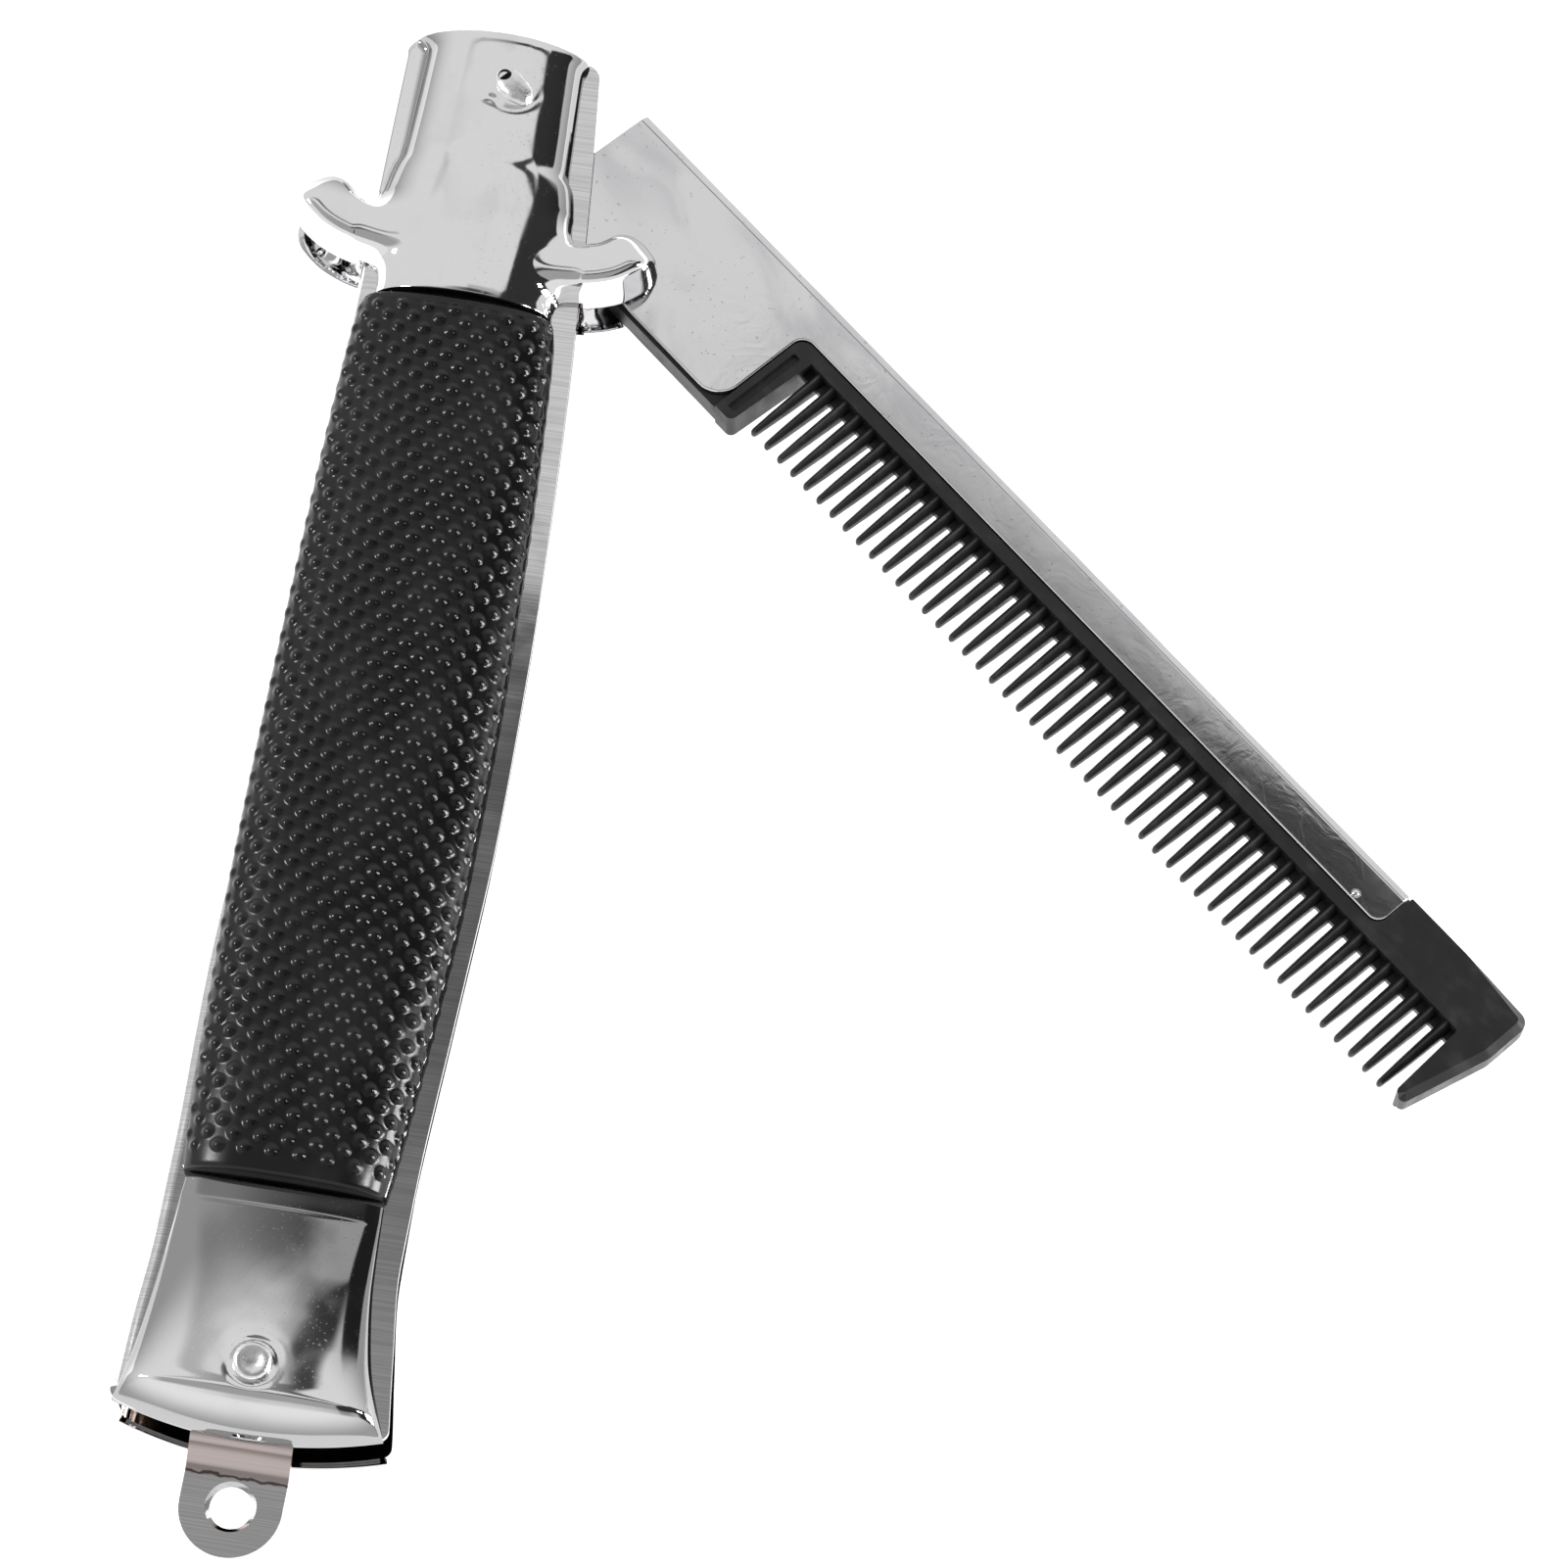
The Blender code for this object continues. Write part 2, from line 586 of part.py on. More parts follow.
def build_teeth(collection):
    """The slim teeth: six-sided spikes with a ridge on each face."""
    bm = bmesh.new()
    length = TOOTH_TIP_ACROSS - ROOT_ACROSS + TOOTH_SUNK
    for index in range(TOOTH_COUNT):
        made = bmesh.ops.create_cone(bm, cap_ends=True, segments=TOOTH_SIDES, radius1=1.0,
                                     radius2=TOOTH_TIP_WIDTH / TOOTH_ROOT_WIDTH, depth=1.0)["verts"]
        bmesh.ops.rotate(bm, cent=(0, 0, 0), matrix=Matrix.Rotation(-math.pi / 2, 3, "X"), verts=made)
        bmesh.ops.scale(bm, vec=(TOOTH_ROOT_WIDTH / math.sqrt(3) * MM, length * MM, TOOTH_ROOT_HALF * MM), verts=made)
        bmesh.ops.translate(bm, vec=((TOOTH_FIRST_ALONG + index * TOOTH_PITCH) * MM,
                                     (TOOTH_TIP_ACROSS - length / 2) * MM, 0), verts=made)
    return mesh_object("teeth", bm, collection)


def rail_outline():
    """The plastic comb without its teeth: heel block, rail along the back and solid end."""
    fold = SPINE_ACROSS + CHANNEL_SHEET + PLASTIC_PLAY
    steel_end = CHANNEL_END_ALONG + 2 * PLASTIC_PLAY
    back = SPINE_ACROSS + PLASTIC_PLAY
    return filleted([
        (PLASTIC_START_ALONG, fold, 0),
        (steel_end, fold, 0),
        (steel_end, back, 0.3),
        (COMB_END_ALONG, back, 1.0),
        (COMB_END_ALONG, END_LOW_ACROSS, 2.0),
        *END_TOOTH_TIP,
        (END_TOOTH_ROOT_ALONG, ROOT_ACROSS, 0),
        (HEEL_END_ALONG + TOOTH_SUNK, ROOT_ACROSS, 0),
        (HEEL_END_ALONG, STRIP_ACROSS, 0.6),
        (PLASTIC_START_ALONG, STRIP_ACROSS, 0.3),
    ])


def build_comb_teeth(collection):
    """The plastic comb: rail, heel, solid end, webs and teeth, thinned where the steel covers it."""
    comb = plate("comb_teeth", rail_outline(), -PLASTIC_HALF, PLASTIC_HALF, collection)
    first, last = HEEL_END_ALONG - TOOTH_SUNK, END_TOOTH_ROOT_ALONG + TOOTH_SUNK
    web = [(first, ROOT_ACROSS - TOOTH_SUNK), (last, ROOT_ACROSS - TOOTH_SUNK), (last, WEB_ACROSS),
           (first, WEB_ACROSS)]
    boolean(comb, plate("web", web, -WEB_HALF, WEB_HALF, collection), "UNION")
    boolean(comb, build_teeth(collection), "UNION")
    notch = TANG_NOTCH_ALONG + PLASTIC_PLAY
    low = CHANNEL_LOW_ACROSS + PLASTIC_PLAY
    end = CHANNEL_END_ALONG + PLASTIC_PLAY
    cover = filleted([(0, -CUT_REACH, 0), (end, -CUT_REACH, 0), (end, low, SPINE_CORNER_R),
                      (notch, low, NOTCH_CORNER_R), (notch, CUT_REACH, 0), (0, CUT_REACH, 0)])
    for low_z, high_z in ((PLASTIC_CORE_HALF, HEAD_TOP), (-HEAD_TOP, -PLASTIC_CORE_HALF)):
        boolean(comb, plate("rebate", cover, low_z, high_z, collection), "DIFFERENCE")
    return comb


def build_tang_arm(collection):
    """The hidden arm: a round eye on the pivot that widens into the tang."""
    spine_side, low_side = ARM_SIDES_ACROSS
    eye = [Vector((ARM_EYE_R * math.cos(math.radians(angle)), ARM_EYE_R * math.sin(math.radians(angle))))
           for angle in range(90, 271, 15)]
    root = [Vector((ARM_SHOULDER_ALONG, spine_side)), Vector((ARM_END_ALONG, spine_side)),
            Vector((ARM_END_ALONG, low_side)), Vector((ARM_SHOULDER_ALONG, low_side))]
    return plate("tang_arm", eye + root, -ARM_HALF, ARM_HALF, collection,
                 holes=[circle((0, 0), PIVOT_PIN_R + RUNNING_PLAY)])


def smooth_shade(obj):
    """Smooth shading with sharp edges kept."""
    obj.data.shade_smooth()
    obj.data.set_sharp_from_angle(angle=math.radians(SHARP_ANGLE))


def main():
    """Build every piece, dress it and set it in its place."""
    clear_scene()
    materials = make_materials()
    parts = new_collection("folding_comb")
    frame = build_frame(parts)
    top = build_top_bolster(parts)
    grip = build_grip(parts)
    bottom = build_bottom_bolster(parts)
    rivets = build_rivets(parts)
    covers = [top, mirrored(top, "bolster_top_back", parts), bottom, mirrored(bottom, "bolster_bottom_back", parts)]
    grips = [grip, mirrored(grip, "grip_back", parts)]
    spine = build_comb_spine(parts)
    teeth = build_comb_teeth(parts)
    arm = build_tang_arm(parts)

    pivot = bpy.data.objects.new("comb_pivot", None)
    parts.objects.link(pivot)
    pivot.location = (0, 0, MIDDLE_Z * MM)
    pivot.rotation_euler = (math.pi, 0, math.radians(SWING_FROM_CLOSED - 90))
    for obj in (spine, teeth, arm):
        obj.parent = pivot
    for obj in (frame, *covers, *grips, *rivets):
        obj.location = (0, 0, MIDDLE_Z * MM)

    dressed = {"steel_sheet": [frame, arm], "comb_steel": [spine], "bolster_chrome": covers,
               "grip_plastic": grips, "comb_plastic": [teeth], "rivet_steel": rivets}
    for finish, pieces in dressed.items():
        for obj in pieces:
            obj.data.materials.clear()
            obj.data.materials.append(materials[finish])
            smooth_shade(obj)


main()
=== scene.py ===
"""Dressed scene of the folding pocket comb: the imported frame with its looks, studio light and camera.

Sizes in the classes are millimetres, and metres in the finishes. The handle's pieces are measured from the
pivot's axis on the middle plane of the slot, and the comb's pieces along and across the comb from the same
point. A piece is turned into metres and set in its place when it is finished.
"""
import json
import logging
import math
from dataclasses import dataclass
from enum import Enum
from functools import reduce
from typing import Callable, Dict, List, Optional, Sequence, Tuple

import bmesh
import bpy
import numpy as np
from mathutils import Matrix, Vector


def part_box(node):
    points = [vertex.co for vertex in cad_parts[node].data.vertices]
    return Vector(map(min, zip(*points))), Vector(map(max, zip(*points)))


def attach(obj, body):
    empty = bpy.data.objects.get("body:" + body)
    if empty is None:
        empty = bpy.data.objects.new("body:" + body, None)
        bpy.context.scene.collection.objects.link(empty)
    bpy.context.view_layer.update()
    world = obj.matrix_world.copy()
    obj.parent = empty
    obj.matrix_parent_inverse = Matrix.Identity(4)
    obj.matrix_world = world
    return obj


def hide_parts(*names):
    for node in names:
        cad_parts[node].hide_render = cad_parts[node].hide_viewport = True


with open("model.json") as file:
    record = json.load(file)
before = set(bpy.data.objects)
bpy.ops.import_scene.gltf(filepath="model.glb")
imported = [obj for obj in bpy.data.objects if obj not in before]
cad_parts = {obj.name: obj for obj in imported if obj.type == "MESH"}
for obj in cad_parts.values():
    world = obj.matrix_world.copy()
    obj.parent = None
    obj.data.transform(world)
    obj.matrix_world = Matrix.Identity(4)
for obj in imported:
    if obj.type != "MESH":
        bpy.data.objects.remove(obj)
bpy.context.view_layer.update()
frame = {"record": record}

MM = 0.001
REACH = 200.0
ROUND_STEPS = 40
NEAR = 0.01
WELD = 0.001
LOG = logging.getLogger("folding_comb")

Pair = Tuple[float, float]
Point = Tuple[float, float, float]
Span = Tuple[float, float, float, float]
Row = Sequence[float]
Colour = Tuple[float, float, float, float]
Mesh = bmesh.types.BMesh
Piece = bpy.types.Object
Socket = bpy.types.NodeSocket
Material = bpy.types.Material


class Body(Enum):
    """The two bodies that a piece can ride on."""

    HANDLE = "handle"
    COMB = "comb"


class Cut(Enum):
    """What a boolean does with its tool."""

    JOIN = "UNION"
    TAKE = "DIFFERENCE"


@dataclass(frozen=True)
class Levels:
    """Heights over the middle plane that several pieces share."""

    slot: float = 2.1
    sheet: float = 0.6
    plate: float = 2.7
    seat: float = 2.76
    top: float = 6.6


LEVELS = Levels()
PIVOT = (0.0, 0.0)
LOW_RIVET = (0.0, -106.8)


def eased(rows: Sequence[Row], place: float) -> List[float]:
    """A row of a table at a place between its rows, on a smooth curve that never overshoots.

    Args:
        rows: The table.
        place: Where to read it, counted in rows from the first.

    Returns:
        The row's numbers at that place.
    """
    index = min(int(place), len(rows) - 2)
    part = place - index
    result = []
    for column in range(len(rows[0])):
        before, here, after = [rows[k + 1][column] - rows[k][column] if 0 <= k < len(rows) - 1 else None
                               for k in (index - 1, index, index + 1)]
        slopes = [here if other is None else 2 * other * here / (other + here) if other * here > 0 else 0.0
                  for other in (before, after)]
        low, high = rows[index][column], rows[index + 1][column]
        result.append((2 * part**3 - 3 * part**2 + 1) * low + (part**3 - 2 * part**2 + part) * slopes[0]
                      + (3 * part**2 - 2 * part**3) * high + (part**3 - part**2) * slopes[1])
    return result


def filleted(corners: Sequence[Point], steps: int = 8) -> List[Vector]:
    """An outline whose corners are rounded by arcs.

    Args:
        corners: The x, y and radius of each corner, in order.
        steps: How many straight edges make one arc.

    Returns:
        The outline's points.
    """
    points = []
    for index, (x, y, radius) in enumerate(corners):
        corner = Vector((x, y))
        if radius == 0:
            points.append(corner)
            continue
        back = (Vector(corners[index - 1][:2]) - corner).normalized()
        ahead = (Vector(corners[(index + 1) % len(corners)][:2]) - corner).normalized()
        half = back.angle(ahead) / 2
        centre = corner + (back + ahead).normalized() * radius / math.sin(half)
        start = corner + back * radius / math.tan(half) - centre
        turn = start.angle_signed(corner + ahead * radius / math.tan(half) - centre)
        points += [centre + Matrix.Rotation(-turn * step / steps, 2) @ start for step in range(steps + 1)]
    return points


def arc(centre: Pair, radius: float, start: float, sweep: float, steps: int) -> List[Pair]:
    """The points of an arc, whose start and sweep are in degrees."""
    angles = [math.radians(start + sweep * step / steps) for step in range(steps + 1)]
    return [(centre[0] + radius * math.cos(angle), centre[1] + radius * math.sin(angle)) for angle in angles]


def quarter_turn(steps: int) -> List[Pair]:
    """The sine and cosine of even steps up to a right angle, to round a tip with."""
    angles = [math.pi / 2 * step / steps for step in range(1, steps + 1)]
    return [(math.sin(angle), math.cos(angle)) for angle in angles]


def smooth_path(points: Sequence[Vector], steps: int) -> List[Vector]:
    """A smooth path through points.

    Args:
        points: The points.
        steps: How many straight edges there are between two of them.

    Returns:
        The path's points.
    """
    path = []
    padded = [points[0], *points, points[-1]]
    for before, here, ahead, after in zip(padded, padded[1:], padded[2:], padded[3:]):
        square, cube = 2 * before - 5 * here + 4 * ahead - after, 3 * here - before - 3 * ahead + after
        path += [here + 0.5 * (t * (ahead - before) + t**2 * square + t**3 * cube)
                 for t in [step / steps for step in range(steps)]]
    return [*path, points[-1]]


def grid_through(sections: Sequence[Sequence[Point]]) -> Mesh:
    """A sheet of quads laid through sections that all have the same number of points.

    Args:
        sections: The sections, each a list of points.

    Returns:
        The sheet.
    """
    bm = bmesh.new()
    columns, rows = len(sections[0]) - 1, len(sections) - 1
    bmesh.ops.create_grid(bm, x_segments=columns, y_segments=rows, size=1.0)
    for vert in bm.verts:
        vert.co = sections[round((vert.co.y + 1) / 2 * rows)][round((vert.co.x + 1) / 2 * columns)]
    return bm


def close_up(bm: Mesh) -> Mesh:
    """Weld a mesh's seams and poles, fill its flat ends and turn its faces outwards.

    Args:
        bm: The mesh.

    Returns:
        The same mesh, closed.
    """
    bmesh.ops.remove_doubles(bm, verts=bm.verts, dist=WELD)
    bmesh.ops.holes_fill(bm, edges=bm.edges, sides=0)
    bmesh.ops.recalc_face_normals(bm, faces=bm.faces)
    return bm


def smooth(bm: Mesh, verts: Sequence[bmesh.types.BMVert], rounds: int) -> None:
    """Smooth some of a mesh's points in several rounds."""
    for _ in range(rounds):
        bmesh.ops.smooth_vert(bm, verts=verts, factor=0.5, use_axis_x=True, use_axis_y=True, use_axis_z=True)


def join(bm: Mesh, other: Mesh) -> None:
    """Put another mesh, which is used up, into a mesh.

    Args:
        bm: The mesh.
        other: The other mesh.
    """
    mesh = bpy.data.meshes.new("part")
    other.to_mesh(mesh)
    other.free()
    bm.from_mesh(mesh)


def arch_section(row: Row, columns: int, base: float, foot: float) -> List[Point]:
    """One section of a cover: an arch of evenly spaced points, with its two feet straight below it.

    Args:
        row: The section's y, left, right, height, bow and fullness, 2 for an ellipse and more for a
            squarer arch.
        columns: How many edges the arch has.
        base: The height at which the arch stands.
        foot: The height of the feet.

    Returns:
        The section's points, from the left foot to the right one.
    """
    y, left, right, height, bow, fullness = row
    middle, half = (left + right) / 2, (right - left) / 2
    angles = np.linspace(0.0, math.pi, 241)
    across = -np.sign(np.cos(angles)) * np.abs(np.cos(angles)) ** (2 / fullness)
    rise = np.clip(np.sin(angles), 0.0, 1.0) ** (2 / fullness)
    length = run_along(across * half, rise * height)
    spots = np.linspace(0.0, length[-1], columns + 1)
    points = [(middle + half * x, y - bow * (1 - x * x), base + height * z)
              for x, z in zip(np.interp(spots, length, across), np.interp(spots, length, rise))]
    return [(*points[0][:2], foot), *points, (*points[-1][:2], foot)]


def run_along(across: np.ndarray, rise: np.ndarray) -> np.ndarray:
    """The distance run along a curve at each of its points."""
    return np.concatenate(([0.0], np.cumsum(np.hypot(np.diff(across), np.diff(rise)))))


def cover_sheet(rows: Sequence[Row], steps: Sequence[int], columns: int, base: float, foot: float) -> Mesh:
    """A cover's outer sheet, brought down to its feet on every side and open only below.

    Args:
        rows: The cover's table of sections.
        steps: How many sections to make in each gap between the table's rows.
        columns: How many edges the arch has.
        base: The height at which the arch stands.
        foot: The height of the feet.

    Returns:
        The sheet.
    """
    places = [gap + step / count for gap, count in enumerate(steps) for step in range(count)]
    sections = [arch_section(eased(rows, place), columns, base, foot) for place in (*places, len(rows) - 1)]
    return lowered_ends(sections, foot)


def lowered_ends(sections: Sequence[Sequence[Point]], foot: float) -> Mesh:
    """A sheet through sections, with its first and last section brought down to their feet."""
    ends = [[(x, y, foot) for x, y, _ in section] for section in (sections[0], sections[-1])]
    return grid_through([ends[0], *sections, ends[1]])


def slice_at(bm: Mesh, point: Point, facing: Point, drop: bool = False) -> None:
    """Cut a mesh's faces along a plane, and drop what lies beyond it where that is asked for."""
    bmesh.ops.bisect_plane(bm, geom=bm.verts[:] + bm.edges[:] + bm.faces[:], dist=1e-5, plane_co=point,
                           plane_no=facing, clear_outer=drop)


def outline_plate(outline: Sequence[Sequence[float]], low: float, high: float) -> Mesh:
    """A flat plate of an outline between two heights.

    Args:
        outline: The corner points.
        low: The height of its lower face.
        high: The height of its upper face.

    Returns:
        The plate, closed.
    """
    bm = bmesh.new()
    verts = [bm.verts.new((x, y, low)) for x, y in outline]
    edges = [bm.edges.new(pair) for pair in zip(verts, verts[1:] + verts[:1])]
    face = bmesh.ops.contextual_create(bm, geom=edges)["faces"]
    raised = bmesh.ops.extrude_face_region(bm, geom=face)["geom"]
    bmesh.ops.translate(bm, vec=(0, 0, high - low),
                        verts=[item for item in raised if isinstance(item, bmesh.types.BMVert)])
    bmesh.ops.recalc_face_normals(bm, faces=bm.faces)
    return bm


def round_edges(bm: Mesh, picked: Callable[[Vector], bool], width: float, segments: int,
                run: float = 0.0) -> None:
    """Round a mesh's level edges where both ends are picked.

    Args:
        bm: The mesh.
        picked: Whether an edge's end is picked.
        width: How far the rounding reaches on each side.
        segments: How many faces cross it.
        run: How far an edge has to run along Y.
    """
    edges = [edge for edge in bm.edges if all(picked(vert.co) for vert in edge.verts)
             and abs(edge.verts[0].co.z - edge.verts[1].co.z) < NEAR
             and abs(edge.verts[0].co.y - edge.verts[1].co.y) >= run]
    bmesh.ops.bevel(bm, geom=edges, offset=width, offset_type="OFFSET", segments=segments, profile=0.5,
                    affect="EDGES", material=-1)


def pin(centre: Pair, radius: float, low: float = -LEVELS.top, high: float = LEVELS.top) -> Mesh:
    """An upright round pin, to drill or to stamp with.

    Args:
        centre: Its x and y.
        radius: Its radius.
        low: The height of its lower end.
        high: The height of its upper end.

    Returns:
        The pin, closed.
    """
    bm = bmesh.new()
    bmesh.ops.create_cone(bm, cap_ends=True, segments=ROUND_STEPS, radius1=radius, radius2=radius,
                          depth=high - low)
    bmesh.ops.translate(bm, vec=(*centre, (low + high) / 2), verts=bm.verts)
    return bm


def ball(centre: Point, radius: float, subdivisions: int) -> Mesh:
    """A ball of triangles.

    Args:
        centre: Its centre.
        radius: Its radius.
        subdivisions: How fine it is.

    Returns:
        The ball, closed.
    """
    bm = bmesh.new()
    bmesh.ops.create_icosphere(bm, subdivisions=subdivisions, radius=radius)
    bmesh.ops.translate(bm, vec=centre, verts=bm.verts)
    return bm


def turned(profile: Sequence[Pair], centre: Pair) -> Mesh:
    """A turned piece: a profile of radius and height spun round an upright axis.

    Args:
        profile: The profile's points, from the axis out and back to it.
        centre: The axis's x and y.

    Returns:
        The piece, closed.
    """
    bm = bmesh.new()
    verts = [bm.verts.new((radius, 0, z)) for radius, z in profile]
    edges = [bm.edges.new(pair) for pair in zip(verts, verts[1:])]
    bmesh.ops.spin(bm, geom=verts + edges, cent=(0, 0, 0), axis=(0, 0, 1), dvec=(0, 0, 0), angle=2 * math.pi,
                   steps=ROUND_STEPS, use_merge=True, use_duplicate=False)
    close_up(bm)
    bmesh.ops.translate(bm, vec=(*centre, 0), verts=bm.verts)
    return bm


def dent(bm: Mesh, depth_at: Callable[[Vector], float]) -> None:
    """Push a mesh's points in along their normals.

    Args:
        bm: The mesh.
        depth_at: How deep the dent is at a point.
    """
    bm.normal_update()
    for vert, move in [(vert, vert.normal * depth_at(vert.co)) for vert in bm.verts]:
        vert.co -= move


def ring_groove(place: Vector, centre: Pair, radius: float, width: float, depth: float) -> float:
    """How deep a round groove of a radius, width and depth is at a place."""
    away = math.hypot(place.x - centre[0], place.y - centre[1]) - radius
    return depth * math.exp(-(away / width) ** 2)


class Workshop:
    """Keeps the collection and turns bmeshes into finished pieces."""

    def __init__(self) -> None:
        """Make the collection and read from the frame where the pieces go."""
        self.collection = bpy.data.collections.new("dressed_comb")
        bpy.context.scene.collection.children.link(self.collection)
        low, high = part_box("pivot_rivet")
        joints = frame["record"]["behaviour"]["joints"]
        swing = next(joint for joint in joints if joint["name"] == "comb_swing")
        middle = Matrix.Translation((0, 0, (low.z + high.z) / 2))
        turn = Matrix.Rotation(math.radians(-swing["range_deg"][0] - 90), 4, "Z")
        turn = turn @ Matrix.Rotation(math.pi, 4, "X")
        self.places = {Body.HANDLE: middle @ Matrix.Scale(MM, 4),
                       Body.COMB: middle @ turn @ Matrix.Scale(MM, 4)}

    def to_object(self, name: str, bm: Mesh) -> Piece:
        """An object from a bmesh, which is used up.

        Args:
            name: The object's name.
            bm: The mesh.

        Returns:
            The object, linked to the collection.
        """
        obj = bpy.data.objects.new(name, bpy.data.meshes.new(name))
        self.collection.objects.link(obj)
        self.store(bm, obj)
        return obj

    def opened(self, obj: Piece) -> Mesh:
        """An object's mesh as a bmesh.

        Args:
            obj: The object.

        Returns:
            The bmesh.
        """
        bm = bmesh.new()
        bm.from_mesh(obj.data)
        return bm

    def store(self, bm: Mesh, obj: Piece) -> None:
        """Give an object a bmesh, which is used up, as its mesh."""
        bm.to_mesh(obj.data)
        bm.free()

    def modify(self, obj: Piece, kind: str, **settings: object) -> Piece:
        """Apply one modifier to an object.

        Args:
            obj: The object.
            kind: The modifier's type.
            **settings: Its settings.

        Returns:
            The same object.
        """
        modifier = obj.modifiers.new(kind.lower(), kind)
        for key, value in settings.items():
            setattr(modifier, key, value)
        bpy.context.view_layer.update()
        mesh = bpy.data.meshes.new_from_object(obj.evaluated_get(bpy.context.evaluated_depsgraph_get()))
        obj.modifiers.clear()
        obj.data = mesh
        return obj

    def cut(self, obj: Piece, tool: Mesh, how: Cut = Cut.TAKE) -> None:
        """Take a mesh, which is used up, away from an object or join it to it.

        Args:
            obj: The object.
            tool: The other mesh.
            how: What to do with it.
        """
        other = self.to_object("tool", tool)
        self.modify(obj, "BOOLEAN", operation=how.value, object=other, solver="EXACT")
        bpy.data.objects.remove(other)

    def soften(self, obj: Piece, width: float, angle: float = 35.0) -> None:
        """Round an object's edges that are sharper than an angle, in degrees, as tumbling does."""
        self.modify(obj, "BEVEL", width=width, segments=2, limit_method="ANGLE",
                    angle_limit=math.radians(angle), harden_normals=False, use_clamp_overlap=True)

    def thicken(self, obj: Piece, thickness: float) -> None:
        """Give a sheet its thickness, inwards."""
        self.modify(obj, "SOLIDIFY", thickness=thickness, offset=-1.0, use_even_offset=True)

    def finish_pair(self, front: Piece, material: Material, node: str,
                    sharp: float = 50.0) -> None:
        """Finish a piece of the handle's front and the same piece on its back.

        Args:
            front: The piece on the front, in millimetres.
            material: Its material.
            node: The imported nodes' name without its last word.
            sharp: From which angle on an edge stays sharp, in degrees.
        """
        mesh = front.data.copy()
        mesh.transform(Matrix.Scale(-1, 4, (0, 0, 1)))
        mesh.flip_normals()
        back = bpy.data.objects.new(front.name.replace("front", "back"), mesh)
        self.collection.objects.link(back)
        for piece, side in ((front, "_front"), (back, "_back")):
            self.finish_piece(piece, material, Body.HANDLE, [node + side], sharp)

    def finish_piece(self, obj: Piece, material: Material, body: Body, nodes: Sequence[str],
                     sharp: float = 50.0, flat: bool = False) -> None:
        """Set a piece in its place, dress it and say what it is.

        Args:
            obj: The piece, in millimetres.
            material: Its material.
            body: The body that it rides on.
            nodes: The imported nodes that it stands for.
            sharp: From which angle on an edge stays sharp, in degrees.
            flat: Whether its large faces are flat and shade evenly.
        """
        obj.data.shade_smooth()
        obj.data.set_sharp_from_angle(angle=math.radians(sharp))
        if flat:
            self.modify(obj, "WEIGHTED_NORMAL", mode="FACE_AREA", weight=50, keep_sharp=True)
        obj.data.transform(self.places[body])
        obj.data.materials.clear()
        obj.data.materials.append(material)
        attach(obj, body.value)
        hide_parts(*nodes)
        obj.data.calc_loop_triangles()
        LOG.info("%s: %d triangles, rides on %s", obj.name, len(obj.data.loop_triangles), body.value)


class Graph:
    """A node tree with short calls for the nodes that the finishes use."""

    def __init__(self, tree: bpy.types.NodeTree) -> None:
        """Keep the tree."""
        self.tree = tree

    def node(self, kind: str, inputs: Optional[Dict[object, object]] = None, output: object = 0,
             **settings: object) -> Socket:
        """Add a node, feed its inputs and give one of its outputs.

        Args:
            kind: The node's type without its first word.
            inputs: What goes into its sockets, by name or number: a value or another node's output.
            output: Which output to give, by name or number.
            **settings: The node's own settings.

        Returns:
            The output.
        """
        node = self.tree.nodes.new("ShaderNode" + kind)
        for key, value in settings.items():
            setattr(node, key, value)
        for key, value in (inputs or {}).items():
            self.feed(node.inputs[key], value)
        return node.outputs[output]

    def feed(self, socket: Socket, value: object) -> None:
        """Link an output to a socket, or set the socket's own value.

        Args:
            socket: The socket.
            value: The output or the value.
        """
        if isinstance(value, Socket):
            self.tree.links.new(value, socket)
        else:
            socket.default_value = value

    def axes(self, place: Socket) -> List[Socket]:
        """The three coordinates of a place."""
        return list(self.node("SeparateXYZ", {0: place}).node.outputs)

    def math(self, operation: str, *values: object) -> Socket:
        """A sum of one or two values, by the operation's name."""
        return self.node("Math", dict(enumerate(values)), operation=operation)

    def product(self, *values: object) -> Socket:
        """Several values multiplied."""
        return reduce(lambda first, second: self.math("MULTIPLY", first, second), values)

    def off(self, value: Socket, centre: float) -> Socket:
        """How far a value is from another."""
        return self.math("ABSOLUTE", self.math("SUBTRACT", value, centre))

    def ramp(self, value: Socket, start: float, end: float, low: float = 0.0, high: float = 1.0) -> Socket:
        """A value that goes smoothly from low to high while another goes from start to end."""
        return self.node("MapRange", {"Value": value, "From Min": start, "From Max": end, "To Min": low,
                                      "To Max": high}, interpolation_type="SMOOTHSTEP")

    def band(self, value: Socket, start: float, full: float, fade: float, end: float) -> Socket:
        """A share that is 1 between two values and fades to nought on both sides."""
        return self.product(self.ramp(value, start, full), self.ramp(value, fade, end, 1.0, 0.0))

    def mix(self, share: object, first: object, second: object) -> Socket:
        """A blend of two colours by a share."""
        return self.node("MixRGB", {"Fac": share, "Color1": first, "Color2": second})

    def blend(self, share: Socket, first: object, second: object) -> Socket:
        """A value between two others, by a share."""
        rest = self.math("SUBTRACT", 1.0, share)
        return self.math("ADD", self.product(rest, first), self.product(share, second))


